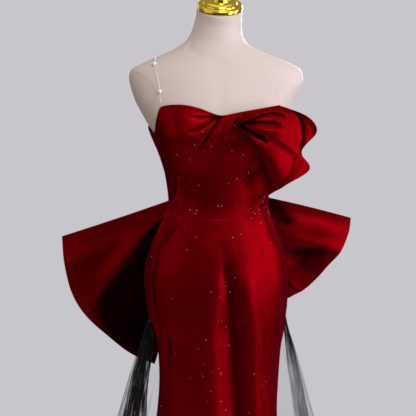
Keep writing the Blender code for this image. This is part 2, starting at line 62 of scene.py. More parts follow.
def valueAt(table, column, at):  # smooth curve through the rows
    keys, rows = table["keys"], table["rows"]
    last = len(keys) - 1
    at = min(max(at, keys[0]), keys[-1])
    i = min(max(bisect_left(keys, at) - 1, 0), last - 1)
    before, after = max(i - 1, 0), min(i + 2, last)
    slopeHere = (rows[i + 1][column] - rows[before][column]) / (keys[i + 1] - keys[before])
    slopeNext = (rows[after][column] - rows[i][column]) / (keys[after] - keys[i])
    span = keys[i + 1] - keys[i]
    t = (at - keys[i]) / span
    return ((2 * t ** 3 - 3 * t ** 2 + 1) * rows[i][column] + (t ** 3 - 2 * t ** 2 + t) * span * slopeHere
            + (3 * t ** 2 - 2 * t ** 3) * rows[i + 1][column] + (t ** 3 - t ** 2) * span * slopeNext)


def bump(distance, width):
    return math.exp(-(distance / width) ** 2)


def stops(count, length, spots=(), offsets=(0.0006, 0.0014, 0.003, 0.006)):
    # even shares from 0 to 1, with closer ones beside the spots; length is the real length in metres
    shares = {i / count for i in range(count + 1)}
    clear = 1.3 * offsets[-1] / length
    for spot in spots:
        near = [spot + side * offset / length for offset in (0, *offsets) for side in (-1, 1)]
        shares = {share for share in shares if abs(share - spot) > clear or share in (0, 1)}
        shares |= {share for share in near if 0 <= share <= 1}
    return sorted(shares)


# pieces
def addObject(name, data):
    piece = bpy.data.objects.new(name, data)
    bpy.context.scene.collection.objects.link(piece)
    return piece


def addMesh(name, bm):
    mesh = bpy.data.meshes.new(name)
    bm.to_mesh(mesh)
    bm.free()
    mesh.shade_smooth()
    return addObject(name, mesh)


def bentGrid(name, columns, rows, place, cut, closed=False, paintedShade=None):
    # a flat grid bent by place(u, v); columns and rows are counts or lists of shares, its UV map is in
    # metres of the cut cloth, and the last function gives each place's painted shade, from 0 to 1
    across = columns if isinstance(columns, list) else stops(columns, 1)
    upward = rows if isinstance(rows, list) else stops(rows, 1)
    bm = bmesh.new()
    cutMap = bm.loops.layers.uv.new("cut")
    # the painted shade of each vertex, kept as an attribute that darkens the satin's colour
    depth = bm.verts.layers.float.new("paintedShade")
    bmesh.ops.create_grid(bm, x_segments=len(across) - 1, y_segments=len(upward) - 1, size=0.5)
    spots = {}
    for vertex in bm.verts:
        u = across[round((vertex.co.x + 0.5) * (len(across) - 1))]
        v = upward[round((vertex.co.y + 0.5) * (len(upward) - 1))]
        spots[vertex] = (u, v)
    for face in bm.faces:
        for loop in face.loops:
            u, v = spots[loop.vert]
            loop[cutMap].uv = (u * cut[0], v * cut[1])
    for vertex, (u, v) in spots.items():
        vertex.co = place(u, v)
        vertex[depth] = paintedShade(u, v) if paintedShade else 0.0
    if closed:
        bmesh.ops.remove_doubles(bm, verts=bm.verts, dist=0.00001)
    return addMesh(name, bm)


def fillHoles(piece):
    bm = bmesh.new()
    bm.from_mesh(piece.data)
    bmesh.ops.holes_fill(bm, edges=[edge for edge in bm.edges if edge.is_boundary], sides=0)
    bm.to_mesh(piece.data)
    bm.free()


def roundEdges(piece, degrees, width, segments):
    edge = piece.modifiers.new("edge", "BEVEL")
    edge.limit_method = "ANGLE"
    edge.angle_limit = math.radians(degrees)
    edge.width = width
    edge.segments = segments
    edge.profile = 0.5
    edge.harden_normals = True


def addWall(piece, wall, side=-1, rounding=0.0005):
    solidify = piece.modifiers.new("wall", "SOLIDIFY")
    solidify.thickness = wall
    solidify.offset = side
    roundEdges(piece, 62, rounding, 2)


def finishPiece(piece, material, slotName, *nodes):
    piece.data.materials.append(material)
    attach(piece, "root")
    if nodes:
        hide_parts(*nodes)


def turnedPiece(name, profile, steps, tilt=0.0, at=(0, 0, 0), rounding=0.0008):
    # a profile of (radius, height) points from the top of the outside down, spun round the upright axis
    bm = bmesh.new()
    corners = [bm.verts.new((radius, 0, height)) for radius, height in profile]
    edges = [bm.edges.new(pair) for pair in zip(corners, corners[1:])]
    bmesh.ops.spin(bm, geom=corners + edges, axis=(0, 0, 1), cent=(0, 0, 0), angle=2 * math.pi,
                   steps=steps, use_merge=True)
    bmesh.ops.remove_doubles(bm, verts=bm.verts, dist=0.00002)
    bmesh.ops.recalc_face_normals(bm, faces=bm.faces)
    bmesh.ops.transform(bm, matrix=Matrix.Translation(at) @ Matrix.Rotation(tilt, 4, "X"), verts=bm.verts)
    piece = addMesh(name, bm)
    roundEdges(piece, 25, rounding, 3)
    return piece


# camera, where the photograph was taken from
view = {"azimuth": -5, "elevation": 6, "distance": 2.6, "aim": (-0.0183, 0.0016, 1.06), "lens": 97.83}


def makeCamera():
    turn, rise = math.radians(view["azimuth"]), math.radians(view["elevation"])
    back = Vector((math.sin(turn) * math.cos(rise), -math.cos(turn) * math.cos(rise), math.sin(rise)))
    camera = addObject("camera", bpy.data.cameras.new("camera"))
    camera.data.lens = view["lens"]
    camera.data.sensor_width = 36
    camera.location = Vector(view["aim"]) + back * view["distance"]
    camera.rotation_euler = (-back).to_track_quat("-Z", "Y").to_euler()
    bpy.context.scene.camera = camera


# light: a tall window on the viewer's right, a soft front one, a weak warm fill, and the rest behind
lamps = {
    # where it stands, width, height, watts, colour
    "window": ((2.4, -1.9, 1.25), 1.2, 2.6, 42, (0.9, 0.93, 1.0)),
    "front": ((0.5, -2.5, 3.0), 1.8, 1.4, 43, (1.0, 0.96, 0.93)),
    "left": ((-3.0, -1.4, 1.7), 3.0, 2.6, 15, (1.0, 0.82, 0.7)),
    "rightEdge": ((2.6, -0.4, 1.5), 0.5, 1.8, 24, (0.95, 0.86, 1.0)),
    "backLeft": ((-1.8, 2.9, 2.2), 1.4, 1.8, 7, (1.0, 0.85, 0.75)),
    "backRight": ((1.9, 3.0, 2.0), 1.4, 1.8, 55, (1.0, 0.98, 0.98)),
    "top": ((0.0, 0.2, 3.6), 1.6, 1.6, 5, (1.0, 1.0, 1.0)),
}
lampAim = Vector((0, 0, 1.0))
room = {"seen": (0.575, 0.565, 0.6), "above": (0.32, 0.306, 0.302), "below": (0.03, 0.026, 0.024),
        "fade": (-0.45, 0.55), "floorRadius": 1.9, "floor": (0.62, 0.61, 0.63)}


def makeLight():
    for name, (place, width, height, watts, colour) in lamps.items():
        lamp = bpy.data.lights.new(name, "AREA")
        lamp.shape = "RECTANGLE"
        lamp.size = width
        lamp.size_y = height
        lamp.energy = watts
        lamp.color = colour
        holder = addObject(name, lamp)
        holder.location = place
        holder.rotation_euler = (lampAim - Vector(place)).to_track_quat("-Z", "Y").to_euler()
    world = bpy.data.worlds.new("room")
    world.use_nodes = True
    tree = world.node_tree
    tree.nodes.clear()
    path = addNode(tree, "ShaderNodeLightPath")
    toward = addNode(tree, "ShaderNodeTexCoord").outputs["Generated"]
    height = addNode(tree, "ShaderNodeSeparateXYZ", {0: toward}).outputs[2]
    rise = addNode(tree, "ShaderNodeMapRange", {0: height, 1: room["fade"][0], 2: room["fade"][1]},
                   interpolation_type="SMOOTHSTEP").outputs[0]
    around = blendColour(tree, rise, room["below"], room["above"])
    glow = addNode(tree, "ShaderNodeBackground", {"Color": around, "Strength": 1.0}).outputs[0]
    seen = addNode(tree, "ShaderNodeBackground", {"Color": (*room["seen"], 1), "Strength": 1.0}).outputs[0]
    both = addNode(tree, "ShaderNodeMixShader", {0: path.outputs["Is Camera Ray"], 1: glow, 2: seen})
    addNode(tree, "ShaderNodeOutputWorld", {"Surface": both.outputs[0]})
    bpy.context.scene.world = world
    bpy.context.scene.view_settings.view_transform = "Standard"
    bpy.context.scene.cycles.transparent_max_bounces = 32


def makeFloor(material):
    bm = bmesh.new()
    bmesh.ops.create_circle(bm, cap_ends=True, segments=96, radius=room["floorRadius"])
    floor = addMesh("floor", bm)
    floor.data.materials.append(material)


# shader helpers
def feed(tree, node, inputs):  # a socket is linked, anything else is the input's own value
    for key, value in inputs.items():
        if isinstance(value, bpy.types.NodeSocket):
            tree.links.new(value, node.inputs[key])
        else:
            node.inputs[key].default_value = value


def addNode(tree, kind, inputs=None, **settings):
    node = tree.nodes.new(kind)
    for key, value in settings.items():
        setattr(node, key, value)
    feed(tree, node, inputs or {})
    return node


def maths(tree, operation, a, b=0.0):
    return addNode(tree, "ShaderNodeMath", {0: a, 1: b}, operation=operation).outputs[0]


def varied(tree, base, value, amount):
    return maths(tree, "ADD", base, maths(tree, "MULTIPLY", value, amount))


def noise(tree, place, scale, detail, **more):
    inputs = {"Vector": place, "Scale": scale, "Detail": detail, **more}
    return addNode(tree, "ShaderNodeTexNoise", inputs).outputs[0]


def stretched(tree, place, scale):
    return addNode(tree, "ShaderNodeMapping", {"Vector": place, "Scale": scale}).outputs[0]


def blendColour(tree, share, first, second):
    first, second = ((*c, 1) if isinstance(c, tuple) else c for c in (first, second))
    return addNode(tree, "ShaderNodeMix", {0: share, 6: first, 7: second}, data_type="RGBA").outputs[2]


def newGroup(name, outputs, **values):  # every group takes a place, then the values with their defaults
    tree = bpy.data.node_groups.new(name, "ShaderNodeTree")
    tree.interface.new_socket("Place", in_out="INPUT", socket_type="NodeSocketVector")
    for label, value in values.items():
        kind = "NodeSocketVector" if isinstance(value, tuple) else "NodeSocketFloat"
        tree.interface.new_socket(label, in_out="INPUT", socket_type=kind).default_value = value
    for label in outputs:
        tree.interface.new_socket(label, in_out="OUTPUT", socket_type="NodeSocketFloat")
    return tree, addNode(tree, "NodeGroupInput").outputs


def useGroup(tree, name, **inputs):
    return addNode(tree, "ShaderNodeGroup", inputs, node_tree=bpy.data.node_groups[name]).outputs


def makeSatinWeave():  # long floats over fine threads, from the cut's own map in metres
    tree, given = newGroup("satinWeave", ("Height", "Slub"), Threads=3000.0)
    inputs = {0: given["Place"], 3: given["Threads"]}
    scaled = addNode(tree, "ShaderNodeVectorMath", inputs, operation="SCALE").outputs[0]
    threads = noise(tree, stretched(tree, scaled, (1.0, 0.16, 1.0)), 1.0, 1.0)
    slub = noise(tree, stretched(tree, scaled, (0.1, 0.004, 1.0)), 1.0, 2.0)
    addNode(tree, "NodeGroupOutput", {"Height": threads, "Slub": slub})


def makeClothDrift():  # slow changes over a hand's breadth, and the faint puckers of worn cloth
    tree, given = newGroup("clothDrift", ("Shade", "Pucker"), Size=0.1)
    scale = maths(tree, "DIVIDE", 1.0, given["Size"])
    shade = noise(tree, given["Place"], scale, 2.0, Roughness=0.45)
    finer = maths(tree, "MULTIPLY", scale, 2.6)
    pucker = noise(tree, given["Place"], finer, 1.5, Roughness=0.4, Distortion=0.6)
    addNode(tree, "NodeGroupOutput", {"Shade": shade, "Pucker": pucker})


def makeGlitterDots():  # tiny dots scattered over the cloth, only in some of the cells
    tree, given = newGroup("glitterDots", ("Dots",), Spacing=0.02, Radius=0.0006, Share=0.5)
    scale = maths(tree, "DIVIDE", 1.0, given["Spacing"])
    cells = addNode(tree, "ShaderNodeTexVoronoi", {"Vector": given["Place"], "Scale": scale}).outputs
    reach = maths(tree, "MULTIPLY", cells["Distance"], given["Spacing"])
    inside = maths(tree, "LESS_THAN", reach, given["Radius"])
    chance = addNode(tree, "ShaderNodeSeparateColor", {"Color": cells["Color"]}).outputs[0]
    chosen = maths(tree, "LESS_THAN", chance, given["Share"])
    addNode(tree, "NodeGroupOutput", {"Dots": maths(tree, "MULTIPLY", inside, chosen)})


def makeNetThreads():  # diamond net, from the cut's own map in metres
    tree, given = newGroup("netThreads", ("Mask",), Cell=0.002, Thread=0.25)
    split = addNode(tree, "ShaderNodeSeparateXYZ", {0: given["Place"]})
    strands = []
    for operation in ("ADD", "SUBTRACT"):
        across = maths(tree, operation, split.outputs[0], split.outputs[1])
        place = maths(tree, "FRACT", maths(tree, "DIVIDE", across, given["Cell"]))
        off = maths(tree, "ABSOLUTE", maths(tree, "SUBTRACT", place, 0.5))
        strands.append(maths(tree, "LESS_THAN", off, maths(tree, "MULTIPLY", given["Thread"], 0.5)))
    addNode(tree, "NodeGroupOutput", {"Mask": maths(tree, "MAXIMUM", *strands)})


def makeFineGrain():  # fine brushed or felted grain from the object's own place
    tree, given = newGroup("fineGrain", ("Grain", "Cloud"), Scale=400.0, Stretch=(1.0, 1.0, 1.0))
    inputs = {0: given["Place"], 1: given["Stretch"]}
    place = addNode(tree, "ShaderNodeVectorMath", inputs, operation="MULTIPLY").outputs[0]
    addNode(tree, "NodeGroupOutput", {"Grain": noise(tree, place, given["Scale"], 3.0),
                                      "Cloud": noise(tree, given["Place"], 9.0, 2.0)})


def newMaterial(name, **constants):
    material = bpy.data.materials.new(name)
    material.use_nodes = True
    tree = material.node_tree
    shader = tree.nodes["Principled BSDF"]
    for key, value in constants.items():
        shader.inputs[key.replace("_", " ")].default_value = value
    place = addNode(tree, "ShaderNodeTexCoord")
    return material, tree, shader, place.outputs["Object"]


def addBump(tree, shader, *layers):  # each layer is a height, its strength and its distance in metres
    below = {}
    for height, strength, distance in layers:
        inputs = {"Height": height, "Strength": strength, "Distance": distance, **below}
        below = {"Normal": addNode(tree, "ShaderNodeBump", inputs).outputs[0]}
    feed(tree, shader, below)


# the satin's colours; the near-black one is painted shade for creases and shadowed places
satinCloth = {"dark": (0.13, 0.0001, 0.0015), "bright": (0.215, 0.0002, 0.0032),
              "paintedShade": (0.012, 0.0, 0.0003), "glitter": (0.95, 0.72, 0.78), "metallic": 0.86,
              "roughness": (0.36, 0.45), "tint": (1.0, 0.0, 0.18), "sheen": (1.0, 0.0, 0.25)}


def makeSatin():
    material, tree, shader, place = newMaterial(
        "wineSatin", Specular_IOR_Level=0.0, Specular_Tint=(*satinCloth["tint"], 1), Sheen_Weight=0.07,
        Sheen_Roughness=0.42, Sheen_Tint=(*satinCloth["sheen"], 1))
    cut = addNode(tree, "ShaderNodeUVMap", uv_map="cut").outputs[0]
    weave = useGroup(tree, "satinWeave", Place=cut, Threads=2600.0)
    drift = useGroup(tree, "clothDrift", Place=place, Size=0.11)
    dots = useGroup(tree, "glitterDots", Place=place, Spacing=0.03, Radius=0.00055, Share=0.26)["Dots"]
    shade = varied(tree, maths(tree, "MULTIPLY", drift["Shade"], 0.75), weave["Slub"], 0.35)
    # painted shade: the cloth turns near-black where the attribute marks a crease or a shadow
    paintedShade = addNode(tree, "ShaderNodeAttribute", attribute_name="paintedShade").outputs["Fac"]
    cloth = blendColour(tree, shade, satinCloth["dark"], satinCloth["bright"])
    cloth = blendColour(tree, paintedShade, cloth, satinCloth["paintedShade"])
    low, high = satinCloth["roughness"]
    plain = maths(tree, "SUBTRACT", 1.0, maths(tree, "MULTIPLY", dots, 0.8))
    feed(tree, shader, {"Base Color": blendColour(tree, dots, cloth, satinCloth["glitter"]),
                        "Roughness": varied(tree, low, drift["Shade"], high - low),
                        "Metallic": maths(tree, "MULTIPLY", plain, satinCloth["metallic"])})
    addBump(tree, shader, (drift["Pucker"], 0.35, 0.004), (weave["Slub"], 0.1, 0.001),
            (weave["Height"], 0.12, 0.0003))
    return material


tulleCloth = {"thread": (0.006, 0.006, 0.008), "glitter": (0.75, 0.72, 0.76), "sheen": (0.8, 0.8, 0.9),
              "film": 0.046, "threads": 0.34, "cell": 0.0032, "threadShare": 0.16, "streaks": (0.2, 1.7)}


def makeTulleMaterial():
    material, tree, shader, place = newMaterial(
        "blackTulle", Roughness=0.6, Specular_IOR_Level=0.2, Sheen_Weight=0.05, Sheen_Roughness=0.4,
        Sheen_Tint=(*tulleCloth["sheen"], 1))
    cut = addNode(tree, "ShaderNodeUVMap", uv_map="cut").outputs[0]
    net = useGroup(tree, "netThreads", Place=cut, Cell=tulleCloth["cell"], Thread=tulleCloth["threadShare"])
    dots = useGroup(tree, "glitterDots", Place=place, Spacing=0.017, Radius=0.0006, Share=0.5)["Dots"]
    gather = addNode(tree, "ShaderNodeAttribute", attribute_name="gather").outputs["Fac"]
    streak = noise(tree, stretched(tree, cut, (300.0, 14.0, 1.0)), 1.0, 2.0)
    low, high = tulleCloth["streaks"]
    patch = addNode(tree, "ShaderNodeMapRange", {0: streak, 1: 0.35, 2: 0.65, 3: low, 4: high}).outputs[0]
    threads = maths(tree, "MULTIPLY", net["Mask"], tulleCloth["threads"])
    film = maths(tree, "MAXIMUM", threads, maths(tree, "MULTIPLY", gather, patch))
    feed(tree, shader, {"Base Color": blendColour(tree, dots, tulleCloth["thread"], tulleCloth["glitter"]),
                        "Alpha": maths(tree, "MAXIMUM", film, dots)})
    return material


def makeFormMaterial():
    material, tree, shader, place = newMaterial("formCover", Coat_Weight=0.06, Coat_Roughness=0.35)
    grain = useGroup(tree, "fineGrain", Place=place, Scale=900.0)
    colour = blendColour(tree, grain["Cloud"], (0.645, 0.545, 0.5), (0.69, 0.592, 0.548))
    feed(tree, shader, {"Base Color": colour, "Roughness": varied(tree, 0.5, grain["Grain"], 0.12)})
    addBump(tree, shader, (grain["Grain"], 0.1, 0.0003))
    return material


def makeGoldMaterial(name, roughness):
    material, tree, shader, place = newMaterial(name, Metallic=1.0, Specular_Tint=(1.0, 0.92, 0.7, 1))
    grain = useGroup(tree, "fineGrain", Place=place, Scale=160.0, Stretch=(1.0, 1.0, 9.0))
    colour = blendColour(tree, grain["Cloud"], (0.8, 0.58, 0.05), (0.9, 0.69, 0.1))
    feed(tree, shader, {"Base Color": colour, "Roughness": varied(tree, roughness, grain["Grain"], 0.06)})
    addBump(tree, shader, (grain["Grain"], 0.04, 0.0002))
    return material


def makePearlMaterial():
    material, tree, shader, place = newMaterial("pearl", Roughness=0.2, Coat_Weight=0.7, Coat_Roughness=0.08)
    rim = addNode(tree, "ShaderNodeLayerWeight", {"Blend": 0.35}).outputs["Facing"]
    grain = useGroup(tree, "fineGrain", Place=place, Scale=500.0)
    lustre = blendColour(tree, rim, (0.92, 0.89, 0.86), (0.8, 0.76, 0.82))
    warm = maths(tree, "MULTIPLY", grain["Grain"], 0.25)
    feed(tree, shader, {"Base Color": blendColour(tree, warm, lustre, (0.9, 0.84, 0.8))})
    return material


def makeSequinMaterialWithPaintedGlint():
    # sequins with a painted glint: they glow faintly in their own pale colour
    material, tree, shader, place = newMaterial("glitter", Metallic=0.35, Roughness=0.3,
                                                Emission_Strength=0.3)
    cells = addNode(tree, "ShaderNodeTexVoronoi", {"Vector": place, "Scale": 160.0})
    tint = blendColour(tree, cells.outputs["Distance"], (1.0, 0.86, 0.88), (1.0, 0.95, 0.97))
    feed(tree, shader, {"Base Color": tint, "Emission Color": tint})
    return material


def makeFloorMaterial():
    material, tree, shader, place = newMaterial("floor", Roughness=0.7)
    grain = useGroup(tree, "fineGrain", Place=place, Scale=60.0)
    lighter = tuple(c * 1.03 for c in room["floor"])
    feed(tree, shader, {"Base Color": blendColour(tree, grain["Cloud"], room["floor"], lighter)})
    return material


# the body's sections: half-widths to the viewer's left and right, depth to the front and back
gownLevels = smoothTable(
    # z, left, right, front, back
    (1.31, 0.188, 0.19, 0.101, 0.099),
    (1.282, 0.175, 0.177, 0.103, 0.101),
    (1.255, 0.16, 0.162, 0.104, 0.101),
    (1.224, 0.148, 0.15, 0.104, 0.1),
    (1.19, 0.1335, 0.139, 0.101, 0.097),
    (1.162, 0.1238, 0.13, 0.097, 0.093),
    (1.137, 0.1171, 0.1235, 0.093, 0.089),
    (1.091, 0.1104, 0.1222, 0.089, 0.084),
    (1.07, 0.1105, 0.121, 0.088, 0.083),
    (1.043, 0.1195, 0.1245, 0.091, 0.087),
    (1.01, 0.1336, 0.137, 0.097, 0.098),
    (0.977, 0.1487, 0.1525, 0.103, 0.109),
    (0.944, 0.1592, 0.1608, 0.108, 0.118),
    (0.911, 0.1651, 0.166, 0.112, 0.123),
    (0.872, 0.1642, 0.1674, 0.114, 0.124),
    (0.834, 0.1598, 0.166, 0.113, 0.121),
    (0.8, 0.152, 0.162, 0.111, 0.117),
    (0.768, 0.14, 0.158, 0.109, 0.114),
    (0.737, 0.135, 0.1522, 0.107, 0.112),
    (0.656, 0.1322, 0.1462, 0.104, 0.112),
    (0.575, 0.1387, 0.144, 0.106, 0.12),
    (0.5, 0.15, 0.153, 0.116, 0.134),
    (0.42, 0.17, 0.172, 0.134, 0.158),
    (0.33, 0.2, 0.202, 0.162, 0.19),
    (0.24, 0.236, 0.238, 0.196, 0.228),
    (0.15, 0.272, 0.274, 0.232, 0.268),
    (0.07, 0.3, 0.302, 0.26, 0.3),
    (0, 0.32, 0.322, 0.28, 0.322))
formLevels = smoothTable(
    # z, left, right, front, back, how square the section is: 1 is an ellipse
    (1.5135, 0.042, 0.06, 0.06, 0.04, 1),
    (1.49, 0.046, 0.059, 0.056, 0.044, 1),
    (1.4721, 0.0518, 0.0582, 0.054, 0.048, 1),
    (1.4535, 0.0593, 0.0605, 0.054, 0.053, 1),
    (1.4385, 0.0706, 0.069, 0.055, 0.057, 1),
    (1.4302, 0.082, 0.078, 0.057, 0.06, 0.99),
    (1.4204, 0.0975, 0.098, 0.06, 0.064, 0.97),
    (1.4074, 0.1273, 0.1285, 0.064, 0.069, 0.93),
    (1.4007, 0.1431, 0.146, 0.066, 0.0715, 0.91),
    (1.3905, 0.1657, 0.17, 0.069, 0.0745, 0.88),
    (1.3816, 0.1838, 0.186, 0.072, 0.077, 0.86),
    (1.3748, 0.193, 0.194, 0.0745, 0.079, 0.85),
    (1.362, 0.1974, 0.1983, 0.079, 0.0825, 0.85),
    (1.3434, 0.1953, 0.1975, 0.085, 0.087, 0.86),
    (1.3074, 0.1843, 0.1815, 0.095, 0.094, 0.91),
    (1.2804, 0.1705, 0.17, 0.0995, 0.097, 0.96),
    (1.2532, 0.1552, 0.157, 0.1005, 0.0975, 1),
    (1.2327, 0.1425, 0.145, 0.1005, 0.097, 1))
topEdgeLine = smoothTable(
    (-180, 1.256), (-130, 1.254), (-112, 1.252), (-100, 1.248), (-90, 1.241), (-78, 1.235),
    (-69, 1.2345), (-63, 1.2395), (-57.5, 1.253), (-50, 1.272), (-46.5, 1.2845), (-44.5, 1.2915),
    (-41, 1.295), (-33, 1.298), (-24, 1.2975), (-14, 1.2905), (-7, 1.2815), (1, 1.2745),
    (15, 1.2825), (28, 1.288), (40, 1.286), (50, 1.275), (60, 1.26), (75, 1.242),
    (90, 1.24), (110, 1.249), (130, 1.254), (180, 1.256))
cup = {"height": 0.027, "degrees": 34.0, "spread": 23.0, "z": 1.226, "above": 0.06, "below": 0.05}
flare = {"start": 0.6, "height": 0.019, "waves": 10, "turn": 0.6}
gown = {"wall": 0.0016, "seamLeft": -66.0, "seamRight": 74.0, "hem": 0.006, "waistFront": 1.0455,
        "waistRise": 0.012, "meanRadius": 0.13,
        # how far the cloth dips at a side seam, at the back seam, at a panel's edge and at the hem's stitches
        "seamDip": 0.0011, "backSeamDip": 0.001, "edgeDip": 0.0003, "hemDip": 0.0005,
        "seamWidth": 0.0016, "edgeWidth": 0.0014, "hemDepth": 0.02,
        # the rows of a skirt panel are closer near this share of its length, at the hem's stitches
        "hemShare": 0.018,
        # above this z the troughs are shallow at the top edge, where the form is close
        "shallowFrom": 1.22, "shallowShare": 0.22, "shallowDepth": 0.012}

# folds of the gown: width and height in metres (a trough is negative), which side is sharp
# (-1 left of the path, 1 right of it, 0 neither), its share of the height at the start and at the end,
# then its path
gownFolds = (
    # bust, the drape over the left cup
    (0.0028, -0.0034, 0, 1, 0, (-0.6, 1.2715), (-9.1, 1.2588), (-16, 1.2459), (-25.5, 1.2314)),
    (0.009, 0.0005, 0, 0.4, 0, (-3, 1.272), (-14, 1.2615), (-28, 1.248)),
    (0.012, 0.0008, 0, 0.4, 0, (-3, 1.264), (-10, 1.248), (-17, 1.231), (-25, 1.215)),
    (0.0031, -0.0052, 0, 0.7, 0.2, (0, 1.27), (-6.4, 1.2426), (-11.8, 1.2225), (-17.2, 1.2034),
     (-21.8, 1.1928)),
    (0.004, -0.0015, 0, 0.9, 0, (-0.8, 1.2725), (-10.9, 1.269), (-21.8, 1.2705)),
    (0.0045, -0.0008, 0, 0.9, 0, (-2, 1.2745), (-14.2, 1.282), (-24, 1.284)),
    (0.005, 0.0007, 0, 0.6, 0, (-2, 1.2735), (-13, 1.2755), (-24, 1.278)),
    # bust, beside the band's right edge and under the bow
    (0.003, -0.0024, 0, 1, 0, (12, 1.266), (9, 1.248), (6.9, 1.2339), (4, 1.216)),
    (0.0032, -0.0014, 0, 1, 0, (12, 1.256), (10.5, 1.238), (8.8, 1.223)),
    (0.005, 0.0008, 0, 1, 0, (12.5, 1.25), (12.5, 1.23), (11, 1.212)),
    # waist, the ridge and groove on the left
    (0.009, 0.015, 1, 0.2, 0.2, (-50.6, 1.13), (-52, 1.095), (-51.2, 1.06), (-51.5, 1.04),
     (-53.6, 1.022), (-58, 0.996), (-62, 0.965)),
    (0.0045, -0.005, 0, 0.3, 0.2, (-60, 1.126), (-62, 1.0836), (-60, 1.06), (-60.8, 1.033),
     (-63.5, 1.005)),
    (0.012, -0.003, 0, 0.4, 0, (-44, 1.11), (-43, 1.07), (-46, 1.03)),
    (0.007, -0.0014, 0, 0.2, 0, (66, 1.1), (58, 1.088), (46, 1.086)),
    (0.006, -0.0012, 0, 0.2, 0, (68, 1.072), (58, 1.066), (48, 1.069)),
    # skirt, the centre trough that widens downwards, with a crest on its right
    (0.008, -0.0026, 0, 0, 0, (2.6, 1.01), (3.2, 0.96), (4.4, 0.9), (6, 0.85)),
    (0.014, -0.006, 0, 0, 0, (3.6, 0.96), (6, 0.89), (8.6, 0.82), (11.5, 0.75)),
    (0.027, -0.017, 0, 0, 0.9, (6, 0.91), (9.2, 0.83), (12.4, 0.75), (17, 0.6), (20, 0.44)),
    (0.02, 0.007, 0, 0, 0.8, (18, 0.976), (22.5, 0.8653), (28.4, 0.7496), (36, 0.6), (39, 0.44)),
    (0.0065, 0.0048, 0, 0, 0.6, (31, 0.82), (37.4, 0.7459), (44.3, 0.662), (54, 0.5851), (58, 0.48)),
    (0.03, 0.005, 0, 0, 0.8, (-10, 0.93), (-13, 0.78), (-16, 0.6), (-16, 0.46)),
    (0.026, -0.004, 0, 0.1, 0.8, (-34, 0.96), (-36, 0.56)),
    # skirt, left side
    (0.006, -0.0034, 0, 0.1, 0.2, (-57.2, 1.0038), (-62.4, 0.9667), (-63.4, 0.9259), (-64, 0.8802),
     (-63.4, 0.8347), (-62, 0.79)),
    (0.01, 0.0062, 0, 0.2, 0.1, (-58, 0.8), (-62, 0.77), (-67, 0.735), (-70, 0.7)),
    (0.005, -0.0034, 0, 0.2, 0, (-52.5, 0.79), (-54.4, 0.7675), (-57, 0.735), (-60.8, 0.71)),
    (0.02, -0.003, 0, 0.1, 0.8, (62, 0.86), (66, 0.74), (66, 0.56)),
    # skirt, sides and back
    (0.025, -0.005, 0, 0.1, 0.9, (150, 0.9), (155, 0.56)),
    (0.025, -0.005, 0, 0.1, 0.9, (-150, 0.92), (-156, 0.56)),
    (0.022, 0.005, 0, 0.1, 0.9, (176, 0.88), (178, 0.56)),
    (0.016, 0.0036, 0, 0, 0.8, (120, 0.9), (117, 0.74), (118, 0.52)),
    (0.016, 0.0032, 0, 0, 0.8, (-118, 0.88), (-121, 0.72), (-119, 0.5)),
    # back, drag lines from the bow's knot
    (0.007, 0.0016, 0, 0.9, 0, (172, 1.095), (150, 1.13), (128, 1.15)),
    (0.006, -0.0013, 0, 0.9, 0, (170, 1.105), (152, 1.148), (136, 1.175)),
    (0.007, 0.0016, 0, 0.9, 0, (-172, 1.096), (-150, 1.125), (-126, 1.142)),
    (0.006, -0.0013, 0, 0.9, 0, (-170, 1.108), (-154, 1.152), (-140, 1.182)),
)

# places with painted shade, in the same form, but the second value is how dark they are painted, below zero
gownPaintedShade = (
    # painted shade on the centre trough's right flank, and a painted shadow on the bodice by the bow's edge
    (0.015, -0.3, 1, 0, 0, (4.5, 0.99), (6, 0.93), (8, 0.86), (11, 0.8)),
    (0.021, -0.62, 1, 0, 1, (6, 0.93), (7.8, 0.87), (12.2, 0.75), (17.8, 0.6), (21, 0.44)),
    (0.008, -0.5, 0, 0.3, 0.5, (27, 1.215), (38, 1.178), (56, 1.135)),
    # painted shade on the left cup's outer side, then on the waist's right side
    (0.024, -0.26, 0, 0.6, 0.6, (-50, 1.27), (-52, 1.22)),
    (0.024, -0.58, 0, 0.3, 0, (36, 1.16), (40, 1.1), (38, 1.06), (34, 1.015)),
)


foldEnd = 2.6  # a fold ends at this many of its widths
foldFade = 0.3  # the share of its path over which it rises at either end
sharpShare = 0.38  # how wide its sharp side is beside the other one
creaseFull, creaseWidth = 0.0045, 0.008  # a crease this deep gets full painted shade, and a wider one gets none


def withReach(folds):  # each fold with the lowest and highest z that it touches
    reached = []
    for fold in folds:
        levels, margin = [z for _, z in fold[5:]], foldEnd * fold[0]
        reached.append((fold, min(levels) - margin, max(levels) + margin))
    return reached


def foldSum(folds, across, z, radius=1.0, isTurn=False):
    # how far the folds lift a place: across is in metres, or in degrees round a radius
    total = 0.0
    for fold, low, high in folds:
        if not low < z < high:
            continue
        width, height, sharp, first, last = fold[:5]
        path = fold[5:]
        nearest, along, length, side = math.inf, 0.0, 0.0, 0.0
        for (a0, z0), (a1, z1) in zip(path, path[1:]):
            if isTurn:
                dx = math.radians(a1 - a0) * radius
                px = math.radians((across - a0 + 180) % 360 - 180) * radius
            else:
                dx, px = a1 - a0, across - a0
            dz, pz = z1 - z0, z - z0
            span = math.hypot(dx, dz)
            t = min(max((px * dx + pz * dz) / span ** 2, 0.0), 1.0)
            off = math.hypot(px - t * dx, pz - t * dz)
            if off < nearest:
                nearest, along = off, length + t * span
                side = px * dz - pz * dx
            length += span
        if nearest > foldEnd * width:
            continue
        t = along / length
        share = mixed(first, 1.0, ease(t / foldFade)) * mixed(last, 1.0, ease((1 - t) / foldFade))
        narrow = sharpShare if sharp * side > 0 else 1.0
        total += height * share * bump(nearest, width * narrow)
    return total


def depthOf(folds):  # the narrow troughs among them, whose depth sets the painted shade of the cloth
    return withReach([fold for fold in folds if fold[1] < 0 and fold[0] < creaseWidth])


